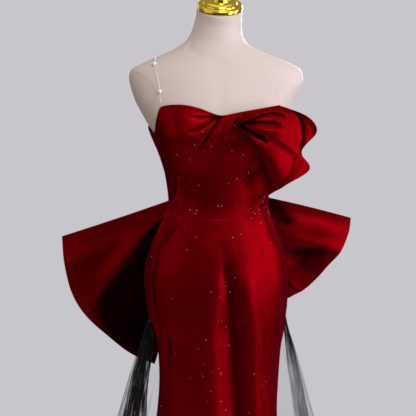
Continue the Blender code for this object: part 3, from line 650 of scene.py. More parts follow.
def darkness(depth, deep):  # painted shade, from the depth of the creases and the sum of the places with painted shade
    return min(max(-depth / creaseFull - deep, 0.0), 1.0)


gownFoldReach, gownDepth, gownPaintedShadeReach = withReach(gownFolds), depthOf(gownFolds), withReach(gownPaintedShade)


def oval(degrees, left, right, front, back, square=1.0):
    s, c = math.sin(math.radians(degrees)), math.cos(math.radians(degrees))
    x = math.copysign(abs(s) ** square, s) * (right if s > 0 else left)
    y = -math.copysign(abs(c) ** square, c) * (front if c > 0 else back)
    return x, y


def movedOut(x, y, z, out):  # a place pushed away from the upright axis
    share = 1 + out / math.hypot(x, y)
    return Vector((x * share, y * share, z))


def outwardNormal(surface, degrees, z):
    across = surface(degrees + 1, z) - surface(degrees - 1, z)
    upward = surface(degrees, z + 0.002) - surface(degrees, z - 0.002)
    return across.cross(upward).normalized()


def cupSwell(degrees, z):
    level = bump(z - cup["z"], cup["above"] if z > cup["z"] else cup["below"])
    cups = sum(bump(degrees - side * cup["degrees"], cup["spread"]) for side in (-1, 1))
    return cup["height"] * level * cups


def gownPoint(degrees, z, outward=0.0):
    degrees = (degrees + 180) % 360 - 180
    x, y = oval(degrees, *(valueAt(gownLevels, column, z) for column in (1, 2, 3, 4)))
    spread = ease((flare["start"] - z) / flare["start"])
    turn = math.radians(degrees)
    wave = math.cos(turn * flare["waves"] + flare["turn"] + 0.5 * math.sin(math.radians(3 * degrees)))
    folds = foldSum(gownFoldReach, degrees, z, math.hypot(x, y), isTurn=True)
    if folds < 0 and z > gown["shallowFrom"]:
        below = (topEdge(degrees) - z) / gown["shallowDepth"]
        folds *= mixed(gown["shallowShare"], 1.0, ease(below))
    return movedOut(x, y, z, cupSwell(degrees, z) + folds + flare["height"] * spread * wave + outward)


# the gown's painted shade at a place, from its creases and its painted shadows
def gownPaintedShadeAt(degrees, z):
    radius = gownPoint(degrees, z).xy.length
    depth, deep = (foldSum(folds, degrees, z, radius, isTurn=True) for folds in (gownDepth, gownPaintedShadeReach))
    return darkness(depth, deep)


def topEdge(degrees):
    return valueAt(topEdgeLine, 1, degrees - 360 if degrees > 180 else degrees)


def waistSeam(degrees):
    return gown["waistFront"] + gown["waistRise"] * math.sin(math.radians(degrees)) ** 2


def frontFace(x, z):  # y of the gown's front at a place across it, by halving the angle
    low, high = -89.0, 89.0
    for _ in range(18):
        middle = (low + high) / 2
        if gownPoint(middle, z).x < x:
            low = middle
        else:
            high = middle
    return gownPoint(low, z).y


# gown panels
panels = {
    # first and last angle, the grid's columns and rows, flat width, length and area, what the panel rests
    # on, the shares of its length where its rows are closer, and the CAD model's node
    "bodiceFront": {"from": gown["seamLeft"], "to": gown["seamRight"], "columns": 200, "rows": 132,
                    "cut": (0.345, 0.245), "area": 0.072, "on": "form_torso", "spots": (),
                    "node": "bodice_front"},
    "bodiceBack": {"from": gown["seamRight"], "to": gown["seamLeft"] + 360, "columns": 120, "rows": 84,
                   "cut": (0.4, 0.205), "area": 0.08, "on": "form_torso", "spots": (),
                   "node": "bodice_back"},
    "skirtFront": {"from": gown["seamLeft"], "to": gown["seamRight"], "columns": 150, "rows": 205,
                   "cut": (0.74, 1.1), "area": 0.47, "on": "bodiceFront", "spots": (gown["hemShare"],),
                   "node": "skirt_front"},
    "skirtBack": {"from": gown["seamRight"], "to": gown["seamLeft"] + 360, "columns": 145, "rows": 165,
                  "cut": (1.22, 1.12), "area": 0.7, "on": "bodiceBack", "spots": (gown["hemShare"],),
                  "node": "skirt_back"},
}


def makePanel(name, low, high, hasBackSeam, satin):
    panel = panels[name]
    start, end, cut = panel["from"], panel["to"], panel["cut"]
    middle = (180 - start) / (end - start)
    arc = math.radians(end - start) * gown["meanRadius"]

    def place(u, v):
        degrees = mixed(start, end, u)
        bottom, top = low(degrees), high(degrees)
        z = mixed(bottom, top, v)
        dip = gown["seamDip"] * (bump(u * arc, gown["seamWidth"]) + bump((1 - u) * arc, gown["seamWidth"]))
        dip += gown["edgeDip"] * (bump(z - bottom, gown["edgeWidth"]) + bump(top - z, gown["edgeWidth"]))
        if hasBackSeam:
            dip += gown["backSeamDip"] * bump((u - middle) * arc, gown["seamWidth"])
        if low is hemLine:
            dip += gown["hemDip"] * bump(z - gown["hem"] - gown["hemDepth"], gown["seamWidth"])
        return gownPoint(degrees, z, -dip)

    # the painted shade of each place on the panel
    def paintedShade(u, v):
        degrees = mixed(start, end, u)
        return gownPaintedShadeAt(degrees, mixed(low(degrees), high(degrees), v))

    columns = stops(panel["columns"], cut[0], (0, 1, middle) if hasBackSeam else (0, 1))
    rows = stops(panel["rows"], cut[1], (0, 1, *panel["spots"]))
    piece = bentGrid(name, columns, rows, place, cut, paintedShade=paintedShade)
    addWall(piece, gown["wall"])
    finishPiece(piece, satin, "wine_satin", panel["node"])


def hemLine(degrees):
    return gown["hem"]


def makeGown(satin):
    makePanel("bodiceFront", waistSeam, topEdge, False, satin)
    makePanel("bodiceBack", waistSeam, topEdge, True, satin)
    makePanel("skirtFront", hemLine, waistSeam, False, satin)
    makePanel("skirtBack", hemLine, waistSeam, True, satin)
    print("gown panels made")


# bust band: the crossing piece beside the bust centre; its lower end sinks into the bodice
band = {
    # share of the length, degrees, z
    "left": smoothTable((0.0, -24.0, 1.188), (0.25, -17.2, 1.2034), (0.5, -11.8, 1.2225),
                        (0.75, -6.6, 1.2426), (1, 0.2, 1.2735)),
    "right": smoothTable((0.0, 2.5, 1.202), (0.25, 5.6, 1.221), (0.5, 8.0, 1.24), (0.75, 10.8, 1.26),
                         (1, 14.4, 1.283)),
    "cut": (0.056, 0.09), "lift": 0.0036, "sink": 0.003, "wall": 0.0014, "overTop": 0.0012,
    "riseEnd": 0.55, "edgeDrop": 0.0008, "pleatHeight": 0.0005, "pleats": 2.4, "pleatStart": 0.12,
    # the pleats start over this share of the length, and at its lower end they have this share of the height
    "pleatFade": 0.4, "pleatLeast": 0.4, "area": 0.0042,
}


def makeBand(satin):
    def place(u, v):
        left, right = ([valueAt(band[side], column, v) for column in (1, 2)] for side in ("left", "right"))
        degrees, z = mixed(left[0], right[0], u), mixed(left[1], right[1], u)
        z = min(z, topEdge(degrees) + band["overTop"])
        rise = ease(v / band["riseEnd"])
        crown = (1 - (2 * u - 1) ** 6) ** 0.5
        pleat = math.sin(2 * math.pi * (band["pleats"] * u + band["pleatStart"]))
        pleat *= band["pleatHeight"] * ease(v / band["pleatFade"]) * mixed(band["pleatLeast"], 1, v) * crown
        lift = rise * (band["lift"] * crown - band["edgeDrop"]) - band["sink"] * (1 - rise)
        return gownPoint(degrees, z, lift + pleat)

    piece = bentGrid("bustBand", 54, 66, place, band["cut"])
    addWall(piece, band["wall"], rounding=0.0004)
    finishPiece(piece, satin, "wine_satin", "bust_band")


# bows: each row is one station round the loop's open mouth, first the front layer's hem, then the rear one's
bustBow = {
    "table": smoothTable(
        # share, front layer x, y, z, rear layer x, y, z, from the lower fold to the upper one
        (0 / 6, 0.107, -0.116, 1.1, 0.107, -0.116, 1.1),
        (1 / 6, 0.136, -0.135, 1.122, 0.15, -0.1, 1.13),
        (2 / 6, 0.195, -0.116, 1.156, 0.193, -0.086, 1.154),
        (3 / 6, 0.173, -0.125, 1.194, 0.184, -0.08, 1.196),
        (4 / 6, 0.176, -0.125, 1.236, 0.218, -0.078, 1.237),
        (5 / 6, 0.163, -0.122, 1.277, 0.196, -0.088, 1.27),
        (6 / 6, 0.128, -0.118, 1.296, 0.128, -0.118, 1.296)),
    "first": (0.034, 1.249), "last": (0.049, 1.282), "halfDepth": 0.005, "foldBend": (0.011, 0, 0.008),
    "puff": 0.024, "lean": 0.78, "cut": (0.5, 0.16), "wall": 0.0014, "pinched": 0.0022,
    "columns": 250, "rows": 100, "mirrored": True, "onGown": True, "area": 0.055, "on": "bodiceFront",
    "node": "bust_bow",
    # folds of the front layer, in the same form as the gown's but their paths are (x, z) pairs
    "folds": (
        (0.0029, -0.0066, 0, 0.4, 0.5, (0.0247, 1.2527), (0.0572, 1.2615), (0.0831, 1.2744),
         (0.1047, 1.2795), (0.1262, 1.2788), (0.137, 1.2734)),
        (0.0029, -0.0062, 0, 0.4, 0.5, (0.039, 1.2536), (0.0584, 1.2572), (0.0858, 1.2608),
         (0.1075, 1.2601), (0.1259, 1.2553)),
        (0.004, -0.0095, 0, 0.4, 0.4, (0.0371, 1.2535), (0.045, 1.2503), (0.0649, 1.2381),
         (0.0864, 1.2259), (0.0957, 1.2197)),
        (0.009, 0.004, 0, 0.3, 0.2, (0.05, 1.27), (0.085, 1.286), (0.12, 1.29), (0.15, 1.282)),
        (0.008, 0.0045, 0, 0.3, 0.1, (0.05, 1.259), (0.085, 1.268), (0.115, 1.27), (0.14, 1.264)),
        (0.01, 0.006, 0, 0.3, 0.1, (0.055, 1.248), (0.085, 1.244), (0.115, 1.243), (0.14, 1.24)),
        (0.013, 0.007, 1, 0.3, 0.8, (0.046, 1.241), (0.064, 1.2065), (0.085, 1.1727), (0.104, 1.1419),
         (0.123, 1.1156)),
        (0.036, 0.008, 0, 0.2, 0.6, (0.056, 1.238), (0.085, 1.2), (0.105, 1.17), (0.125, 1.14)),
        (0.008, 0.005, -1, 0.9, 0.5, (0.1296, 1.1226), (0.145, 1.143), (0.1587, 1.1624), (0.1708, 1.1932)),
    ),
    # places with painted shade, in the same form as the gown's, then the same for the rear layer, and its
    # folds
    "deep": (
        (0.006, -0.5, 0, 0, 0.3, (0.07, 1.236), (0.087, 1.226), (0.098, 1.218)),
        (0.003, -0.7, 0, 0.6, 0.4, (0.131, 1.125), (0.147, 1.145), (0.162, 1.169)),
    ),
    # painted shadow of the front layer's hem on the rear layer
    "rearDeep": (
        (0.011, -1, 0, 0.5, 0.6, (0.167, 1.278), (0.18, 1.262), (0.187, 1.242), (0.185, 1.2198),
         (0.176, 1.1976)),
        (0.012, -0.9, 0, 1, 0.6, (0.08, 1.19), (0.11, 1.125), (0.14, 1.14)),
    ),
    "rearFolds": (
        (0.007, -0.003, 0, 0.4, 0.4, (0.07, 1.23), (0.13, 1.205), (0.17, 1.19)),
        (0.008, 0.003, 0, 0.4, 0.4, (0.07, 1.25), (0.13, 1.25), (0.19, 1.248)),
        (0.015, -0.013, 0, 0.4, 0.5, (0.172, 1.276), (0.183, 1.258), (0.1885, 1.239), (0.185, 1.218),
         (0.177, 1.197)),
    ),
}
backBows = {
    # the same tables as the bust bow's
    "backBowLeft": {
        "table": smoothTable(
            (0 / 6, -0.359, 0.151, 0.979, -0.359, 0.151, 0.979),
            (1 / 6, -0.354, 0.132, 0.92, -0.348, 0.178, 0.925),
            (2 / 6, -0.337, 0.128, 0.846, -0.328, 0.192, 0.852),
            (3 / 6, -0.303, 0.132, 0.786, -0.292, 0.204, 0.795),
            (4 / 6, -0.251, 0.166, 0.729, -0.242, 0.224, 0.74),
            (5 / 6, -0.196, 0.19, 0.679, -0.19, 0.232, 0.693),
            (6 / 6, -0.135, 0.198, 0.648, -0.135, 0.198, 0.648)),
        "side": -1, "foldBend": -0.002, "node": "back_bow_left", "cut": (0.9, 0.34), "area": 0.19,
        "folds": (
            (0.021, 0.02, 0, 0.8, 0.2, (-0.085, 1.068), (-0.118, 1.038), (-0.156, 0.996),
             (-0.196, 0.946), (-0.236, 0.896), (-0.276, 0.846)),
            (0.032, -0.026, 0, 0.3, 0.4, (-0.09, 1.02), (-0.14, 0.955), (-0.185, 0.895),
             (-0.225, 0.845), (-0.265, 0.797)),
            (0.016, 0.006, 0, 0.1, 0.2, (-0.13, 0.88), (-0.164, 0.848), (-0.1961, 0.8162),
             (-0.2256, 0.7863)),
            (0.028, 0.005, 0, 0.1, 0.7, (-0.15, 1.04), (-0.25, 0.975), (-0.34, 0.925)),
            (0.02, -0.003, 0, 0.1, 0.7, (-0.1, 1.065), (-0.22, 1.01), (-0.345, 0.96)),
            (0.018, -0.006, 0, 0.2, 0.8, (-0.12, 0.83), (-0.145, 0.77), (-0.17, 0.7)),
        ),
        # painted shade: the body's shadow and a dark recess on the loop, lighter shade on its upper part
        "deep": (
            (0.014, -0.9, 1, 0.6, 0.2, (-0.119, 1.03), (-0.164, 0.97), (-0.201, 0.911), (-0.238, 0.87),
             (-0.285, 0.815)),
            (0.032, -0.7, 0, 0.6, 0.2, (-0.12, 1), (-0.165, 0.93), (-0.205, 0.87), (-0.245, 0.82)),
            (0.042, -0.8, 0, 0.5, 0.7, (-0.15, 0.93), (-0.185, 0.85), (-0.215, 0.785), (-0.228, 0.75)),
            (0.042, -0.8, 0, 0.5, 1, (-0.14, 0.86), (-0.155, 0.78), (-0.15, 0.7), (-0.145, 0.655)),
            (0.028, -0.6, 0, 0.5, 0.5, (-0.17, 0.76), (-0.195, 0.725)),
            (0.032, -0.8, 0, 0.5, 0.5, (-0.248, 0.83), (-0.24, 0.79), (-0.215, 0.75)),
            (0.03, -0.7, 0, 0.3, 0.8, (-0.27, 0.805), (-0.23, 0.76), (-0.18, 0.7)),
            (0.042, -0.26, 0, 0.3, 0.6, (-0.18, 1.042), (-0.26, 1), (-0.34, 0.95)),
            (0.03, -0.24, 0, 0.2, 0.5, (-0.21, 0.985), (-0.26, 0.935), (-0.3, 0.885)),
        ),
        "rearFolds": (
            (0.024, 0.012, 1, 0.2, 0.6, (-0.05, 1.07), (-0.14, 0.99), (-0.23, 0.89), (-0.28, 0.81)),
            (0.022, -0.011, 0, 0.2, 0.7, (-0.05, 1.08), (-0.16, 1.02), (-0.26, 0.95), (-0.32, 0.89)),
            (0.018, -0.01, 0, 0.2, 0.7, (-0.05, 1.05), (-0.12, 0.94), (-0.19, 0.8), (-0.21, 0.73)),
            (0.012, 0.005, 0, 0.2, 0.7, (-0.06, 1.085), (-0.2, 1.04), (-0.33, 0.97)),
            (0.012, 0.006, 0, 0.2, 0.7, (-0.05, 1.05), (-0.1, 0.93), (-0.14, 0.79)),
        ),
    },
    "backBowRight": {
        "table": smoothTable(
            (0 / 6, 0.348, 0.151, 1.017, 0.348, 0.151, 1.017),
            (1 / 6, 0.338, 0.128, 0.98, 0.334, 0.176, 0.976),
            (2 / 6, 0.315, 0.118, 0.936, 0.309, 0.19, 0.93),
            (3 / 6, 0.281, 0.126, 0.893, 0.274, 0.198, 0.886),
            (4 / 6, 0.24, 0.15, 0.845, 0.234, 0.2, 0.841),
            (5 / 6, 0.205, 0.16, 0.822, 0.198, 0.192, 0.818),
            (6 / 6, 0.166, 0.173, 0.8, 0.166, 0.173, 0.8)),
        "side": 1, "foldBend": 0.004, "node": "back_bow_right", "cut": (0.84, 0.32), "area": 0.13,
        "folds": (
            (0.02, -0.007, 0, 0.2, 0.6, (0.13, 1.04), (0.22, 1.013), (0.33, 0.982)),
            (0.024, 0.008, 1, 0.2, 0.5, (0.12, 0.99), (0.175, 0.962), (0.2101, 0.9598), (0.2398, 0.962),
             (0.2746, 0.9591), (0.3021, 0.9438), (0.3123, 0.9313)),
            (0.022, -0.012, 0, 0.2, 0.4, (0.16, 0.94), (0.205, 0.924), (0.245, 0.922), (0.275, 0.912),
             (0.3, 0.898)),
            (0.024, 0.006, 0, 0.2, 0.3, (0.15, 0.905), (0.19, 0.885), (0.225, 0.86)),
            (0.007, 0.007, 1, 0.6, 0.4, (0.185, 0.868), (0.1983, 0.8556), (0.2135, 0.8428), (0.2286, 0.8325)),
        ),
        # painted shade near the knot, along the top and under the fold's edge
        "deep": (
            (0.024, -0.9, 0, 1, 0.3, (0.145, 1.056), (0.168, 1.04), (0.183, 1.02), (0.186, 0.998)),
            (0.02, -0.6, 0, 1, 0.5, (0.145, 1.045), (0.16, 1.01)),
            (0.028, -0.42, 0, 0.3, 0.4, (0.15, 0.998), (0.24, 0.98), (0.32, 0.962)),
            (0.02, -0.75, -1, 0.2, 0.3, (0.178, 0.942), (0.2101, 0.943), (0.2398, 0.944),
             (0.2746, 0.941), (0.3021, 0.926)),
            (0.03, -0.75, 0, 0.3, 0.3, (0.205, 0.92), (0.245, 0.905), (0.285, 0.895)),
        ),
        "rearFolds": (
            (0.022, 0.011, 1, 0.2, 0.6, (0.05, 1.08), (0.15, 1.03), (0.25, 0.97), (0.315, 0.94)),
            (0.02, -0.01, 0, 0.2, 0.6, (0.05, 1.07), (0.13, 0.99), (0.22, 0.9), (0.25, 0.87)),
            (0.014, 0.006, 0, 0.2, 0.6, (0.05, 1.085), (0.18, 1.06), (0.33, 1)),
            (0.012, 0.006, 0, 0.2, 0.6, (0.05, 1.06), (0.11, 0.96), (0.17, 0.86)),
        ),
    },
}
backKnot = {"y": 0.0999, "z": 1.073, "halfHeight": 0.033, "halfDepth": 0.016, "halfWidth": 0.021,
            "gathered": 0.024, "loopStart": 0.0221, "taper": 0.22, "square": 0.7,
            "pleats": (0.045, 9.5, 0.9), "finePleats": (0.02, 21), "endShare": 0.02, "bodyScale": 0.985,
            "endScale": 0.93}
# what both back loops share
backLoops = {"halfGather": 0.0085, "puff": 0.016, "wall": 0.0014, "columns": 200, "rows": 90,
             "on": "backBowKnot"}
# how far the rows of every loop crowd to its ends, its small gathers at the start, and where the bust
# bow's rear layer stays off the gown, at its start and then at its mouth
loops = {"crowding": 0.06, "gatherHeight": 0.0008, "gathers": 17, "offGown": 0.0024, "offGownMore": 0.012}


def loopPoint(bow, around, outward):  # around runs 0 to 1 over the front layer and 1 to 2 back over the rear
    front = around <= 1
    v = around if front else 2 - around
    v -= loops["crowding"] * math.sin(2 * math.pi * v)
    bulge = math.sin(math.pi * v)
    hem = Vector([valueAt(bow["table"], column, v) for column in ((1, 2, 3) if front else (4, 5, 6))])
    side = -1 if front else 1
    start = bow["start"].lerp(bow["end"], v) + Vector((0, side * bow["halfGather"] * bulge ** 0.6, 0))
    point = start.lerp(hem, outward) + Vector(bow["bend"]) * (math.sin(math.pi * outward) * (1 - v) ** 2)
    puff = bow["puff"] * math.sin(math.pi * outward ** bow.get("lean", 1)) ** 0.8 * bulge ** 0.7
    fine = math.sin(2 * math.pi * loops["gathers"] * v + 1.3 * math.sin(9 * v))
    fine *= loops["gatherHeight"] * (1 - outward) ** 4
    crease = foldSum(bow["frontReach" if front else "rearReach"], point.x, point.z)
    point.y += side * (puff + (crease + fine) * bulge ** 0.5)
    return point


def bowLoop(name, bow, satin):
    for layer, folds, deep in (("front", bow["folds"], bow["deep"]),
                               ("rear", bow["rearFolds"], bow.get("rearDeep", ()))):
        bow[layer + "Reach"], bow[layer + "Deep"] = withReach(folds), withReach(deep)
        bow[layer + "Depth"] = depthOf(folds)

    def place(u, v):
        around = 2 * (1 - u if bow["mirrored"] else u)
        point = loopPoint(bow, around, v)
        if bow.get("onGown") and around > 1:
            clear = loops["offGown"] + loops["offGownMore"] * v
            point.y = min(point.y, frontFace(point.x, point.z) - clear)
        return point

    # the painted shade of a place on the front or the rear layer
    def paintedShade(u, v):
        point = place(u, v)
        layer = "front" if 2 * (1 - u if bow["mirrored"] else u) <= 1 else "rear"
        depth, deep = (foldSum(bow[layer + kind], point.x, point.z) for kind in ("Depth", "Deep"))
        return darkness(depth, deep)

    cut = bow["cut"]
    rows = stops(bow["rows"], cut[1], (1,))
    piece = bentGrid(name, bow["columns"], rows, place, cut, closed=True, paintedShade=paintedShade)
    addWall(piece, bow["wall"], side=1, rounding=0.0004)
    finishPiece(piece, satin, "wine_satin", bow["node"])


def makeBows(satin):
    halfDepth = bustBow["halfDepth"]
    inward = bustBow["pinched"] + halfDepth
    ends = [Vector((x, frontFace(x, z) - inward, z)) for x, z in (bustBow["first"], bustBow["last"])]
    bow = {**bustBow, "start": ends[0], "end": ends[1], "halfGather": halfDepth, "bend": bustBow["foldBend"]}
    bowLoop("bustBow", bow, satin)
    for name, settings in backBows.items():
        x, y, z = settings["side"] * backKnot["loopStart"], backKnot["y"], backKnot["z"]
        bow = {**backLoops, **settings, "start": Vector((x, y, z + backKnot["gathered"])),
               "end": Vector((x, y, z - backKnot["gathered"])), "bend": (0, 0, settings["foldBend"]),
               "mirrored": settings["side"] > 0}
        bowLoop(name, bow, satin)
    print("bow loops made")


def makeKnot(satin):
    centre = Vector((0, backKnot["y"], backKnot["z"]))
    height, count, sway = backKnot["pleats"]
    fineHeight, fineCount = backKnot["finePleats"]

    def place(u, v):
        c, s = math.cos(2 * math.pi * u), math.sin(2 * math.pi * u)
        across = 2 * v - 1
        barrel = 1 - backKnot["taper"] * across ** 2 + height * math.sin(count * across + sway * s)
        barrel += fineHeight * math.sin(fineCount * across - c)
        isBody = backKnot["endShare"] < v < 1 - backKnot["endShare"]
        barrel *= backKnot["bodyScale"] if isBody else backKnot["endScale"]
        y = math.copysign(abs(c) ** backKnot["square"], c) * backKnot["halfDepth"] * barrel
        z = math.copysign(abs(s) ** backKnot["square"], s) * backKnot["halfHeight"] * barrel
        return centre + Vector((backKnot["halfWidth"] * across, y, z))

    piece = bentGrid("backBowKnot", 84, 44, place, (0.16, 0.07), closed=True)
    fillHoles(piece)
    finishPiece(piece, satin, "wine_satin", "back_bow_knot")


# tulle train
train = {
    "levels": smoothTable(
        # z, half-width, y of the free front edge, y of the back, height of the waves
        (0.98, 0.155, 0.045, 0.125, 0),
        (0.87, 0.152, 0.06, 0.15, 0.002),
        (0.8, 0.156, 0.056, 0.172, 0.002),
        (0.74, 0.173, 0.05, 0.19, 0.004),
        (0.688, 0.191, 0.048, 0.208, 0.006),
        (0.634, 0.208, 0.048, 0.231, 0.008),
        (0.546, 0.233, 0.049, 0.27, 0.012),
        (0.48, 0.254, 0.05, 0.3, 0.015),
        (0.34, 0.304, 0.058, 0.372, 0.0185),
        (0.2, 0.366, 0.068, 0.46, 0.022),
        (0.08, 0.425, 0.08, 0.56, 0.024),
        (0.0045, 0.47, 0.09, 0.69, 0.02)),
    "bundles": smoothTable(
        # z, left bundle's middle and half-width, right bundle's middle and half-width
        (0.98, 0.148, 0.001, 0.153, 0.001),
        (0.87, 0.147, 0.0025, 0.162, 0.0022),
        (0.8, 0.148, 0.006, 0.1695, 0.005),
        (0.76, 0.151, 0.01, 0.175, 0.0075),
        (0.7, 0.162, 0.0165, 0.185, 0.013),
        (0.625, 0.175, 0.0205, 0.198, 0.016),
        (0.55, 0.182, 0.024, 0.21, 0.019),
        (0.48, 0.2, 0.028, 0.226, 0.022),
        (0.34, 0.25, 0.036, 0.27, 0.028),
        (0.2, 0.318, 0.038, 0.33, 0.034),
        (0.08, 0.38, 0.036, 0.388, 0.034),
        (0.0045, 0.418, 0.036, 0.425, 0.034)),
    # the top edge's z, how many degrees the train reaches round there and further down, the z where that
    # grows and over which span, and the levels between which the train leaves the gown and hangs free
    "top": 1.02, "topReach": 62.0, "lowReach": 92.0, "reachStart": 1.0, "reachSpan": 0.16,
    "hangStart": 0.985, "hangFull": 0.79,
    "cut": (1.55, 1.14), "area": 1.28, "columns": 330, "bundleColumns": 120, "rows": 118,
    # how many waves round the train, how far and how fast they wander, and their share
    "waves": ((9, 0.8, 7, 1.0), (31, 2.0, 11, 0.28)),
    # the small gathers at the top, the z that they rise from and over which span, and how far the cloth
    # lies off the gown there
    "gathers": 44, "gatherHeight": 0.0008, "gatherFrom": 0.98, "gatherSpan": 0.03, "offGown": 0.0012,
    # the bundle of folds at each front edge: a main fold, a second one, then how deep and how far back
    "bundleShare": 0.14, "bundleFolds": 4.5, "bundleSway": (0.7, 5.1, 2), "secondFold": (0.35, 2.3, 1),
    "edgeSpread": 0.75, "bundleDepth": 0.3, "bundleBack": 0.012,
    # the right side's extra width, the z that it grows below, over which span, and where it fades again
    "rightMore": (0.024, 0.86, 0.14, 0.4), "round": 0.9,
    # how dense the bundles are, and what the gathers above add from a share of the length on
    "leftFilm": 0.74, "rightFilm": 0.25, "lowFilm": (0.5, 0.64, 0.1), "topFilm": (0.55, 0.8, 0.16),
}


def bundleCloseness(u):  # 1 at the train's front edges and 0 past the bundles
    return 1 - ease(min(u, 1 - u) / train["bundleShare"])


def bundlePlace(u, z, y):  # across and depth of the folds that hang together at a front edge
    isLeft = u < 0.5
    middle, spread = (valueAt(train["bundles"], column, z) for column in ((1, 2) if isLeft else (3, 4)))
    along = min(u, 1 - u) / train["bundleShare"]
    sway, rate, start = train["bundleSway"]
    secondShare, secondRate, secondStart = train["secondFold"]
    swing = 2 * math.pi * train["bundleFolds"] * along
    swing += sway * math.sin(rate * along + (0 if isLeft else start))
    folds = math.sin(swing) + secondShare * math.sin(secondRate * swing + secondStart)
    across = middle + spread * folds * mixed(train["edgeSpread"], 1, along)
    return across, y + train["bundleDepth"] * spread * math.cos(swing) + train["bundleBack"] * along


def trainPoint(u, v):
    z = mixed(train["levels"]["keys"][0], train["top"], v)
    hang = ease((train["hangStart"] - z) / (train["hangStart"] - train["hangFull"]))
    reach = mixed(train["topReach"], train["lowReach"], ease((train["reachStart"] - z) / train["reachSpan"]))
    turn = reach * (1 - 2 * u)
    gather = train["gatherHeight"] * math.sin(2 * math.pi * train["gathers"] * u)
    gather *= ease((z - train["gatherFrom"]) / train["gatherSpan"])
    near = gownPoint(180 + turn, z, train["offGown"] + gather)
    halfWidth, edgeY, backY, wave = (valueAt(train["levels"], column, z) for column in (1, 2, 3, 4))
    s, c = math.sin(math.radians(turn)), math.cos(math.radians(turn))
    ripple = 1 + sum(share * wave * math.cos(2 * math.pi * count * u + wander * math.sin(rate * u))
                     for count, wander, rate, share in train["waves"]) / halfWidth
    if u > 0.5:
        more, below, span, low = train["rightMore"]
        halfWidth += more * ease((below - z) / span) * ease(z / low)
    x, y = -halfWidth * s * ripple, edgeY + (backY - edgeY) * max(c, 0) ** train["round"] * ripple
    foldedX, foldedY = bundlePlace(u, z, y)
    close = bundleCloseness(u)
    x, y = mixed(x, math.copysign(foldedX, x), close), mixed(y, foldedY, close)
    return near.lerp(Vector((x, y, z)), hang)


def makeTrain(tulle):
    bundle, count = train["bundleShare"], train["bundleColumns"]
    fine = {i * bundle / count for i in range(count)}
    between = {share for share in stops(train["columns"], 1.0) if bundle < share < 1 - bundle}
    columns = sorted(fine | {1 - share for share in fine} | between | {bundle, 1 - bundle})
    piece = bentGrid("tulleTrain", columns, train["rows"], trainPoint, train["cut"])
    finishPiece(piece, tulle, "black_tulle", "tulle_train")
    gather = piece.data.attributes.new("gather", "FLOAT", "POINT")
    cutMap = piece.data.uv_layers["cut"].data
    for loop in piece.data.loops:
        u, v = cutMap[loop.index].uv.x / train["cut"][0], cutMap[loop.index].uv.y / train["cut"][1]
        full = train["leftFilm" if u < 0.5 else "rightFilm"]
        low, top = (more * ease((v - start) / span)
                    for more, start, span in (train["lowFilm"], train["topFilm"]))
        film = tulleCloth["film"] + bundleCloseness(u) ** 0.6 * (full - tulleCloth["film"] + low)
        gather.data[loop.vertex_index].value = film + top
    print("tulle train made")


# dress form
formFolds = (
    # collar bones, then the edges of the arm plates
    (0.005, -0.0024, 0, 0.3, 0.1, (-58, 1.443), (-50, 1.4292), (-37, 1.4183), (-23, 1.4095),
     (-7, 1.403)),
    (0.006, -0.0008, 0, 0.4, 0, (52, 1.438), (38, 1.425), (25, 1.412), (12, 1.404)),
    (0.012, 0.0012, 0, 0.2, 0.2, (-40, 1.41), (-60, 1.406), (-80, 1.4)),
    (0.006, 0.0016, 1, 0.6, 0.3, (-86, 1.377), (-62, 1.37), (-50, 1.359), (-44, 1.34),
     (-43, 1.32), (-47, 1.3), (-58, 1.275), (-76, 1.245)),
    (0.007, 0.001, -1, 0.6, 0.3, (86, 1.377), (62, 1.37), (50, 1.359), (44, 1.34), (43, 1.32),
     (47, 1.3), (58, 1.275), (76, 1.245)),
    (0.005, -0.0012, 0, 1, 1, (0, 1.39), (0, 1.33), (0, 1.28)),
)
formFoldReach = withReach(formFolds)
dressForm = {
    "bottom": 0.8, "top": 1.5135, "tilt": math.radians(25), "tiltStart": 1.46, "neck": (0.008, -0.01),
    "capGap": 0.0003,
    # under the gown the form lies further in: by these amounts, each from its z down over its span
    "inset": 0.0039, "hips": (0.0065, 1.04, 0.07), "end": (0.03, 0.88, 0.08),
    "shownFrom": 1.2, "shownSpan": 0.045, "cupShare": 0.8,
    "coveredInset": 0.009, "coveredFrom": 0.006, "coveredSpan": 0.012}


def formPoint(degrees, z):  # its own table above the bust, just inside the gown below it
    swell = dressForm["cupShare"] * cupSwell(degrees, z)
    (hips, hipsZ, hipsSpan), (end, endZ, endSpan) = dressForm["hips"], dressForm["end"]
    inset = dressForm["inset"] + hips * ease((hipsZ - z) / hipsSpan) + end * ease((endZ - z) / endSpan) ** 1.5
    shown = oval(degrees, *(valueAt(formLevels, column, z) for column in (1, 2, 3, 4, 5)))
    hidden = oval(degrees, *(valueAt(gownLevels, column, z) - inset for column in (1, 2, 3, 4)))
    share = ease((z - dressForm["shownFrom"]) / dressForm["shownSpan"])
    return movedOut(*hidden, z, swell).lerp(movedOut(*shown, z, swell), share)


def makeForm(cover):
    def place(u, v):
        degrees = -180 + 360 * u
        z = mixed(dressForm["bottom"], dressForm["top"], v)
        point = formPoint(degrees, z)
        # clear of the gown's troughs
        covered = ease((topEdge(degrees) - dressForm["coveredFrom"] - z) / dressForm["coveredSpan"])
        out = foldSum(formFoldReach, degrees, z, point.xy.length, isTurn=True)
        point = movedOut(point.x, point.y, z, out - dressForm["coveredInset"] * covered)
        tilt = ease((z - dressForm["tiltStart"]) / (dressForm["top"] - dressForm["tiltStart"]))
        point.z += tilt * (point.y - dressForm["neck"][1]) * math.tan(dressForm["tilt"])
        return point

    piece = bentGrid("formTorso", 160, 200, place, (1.0, 0.8), closed=True)
    fillHoles(piece)
    finishPiece(piece, cover, "form_linen", "form_torso")


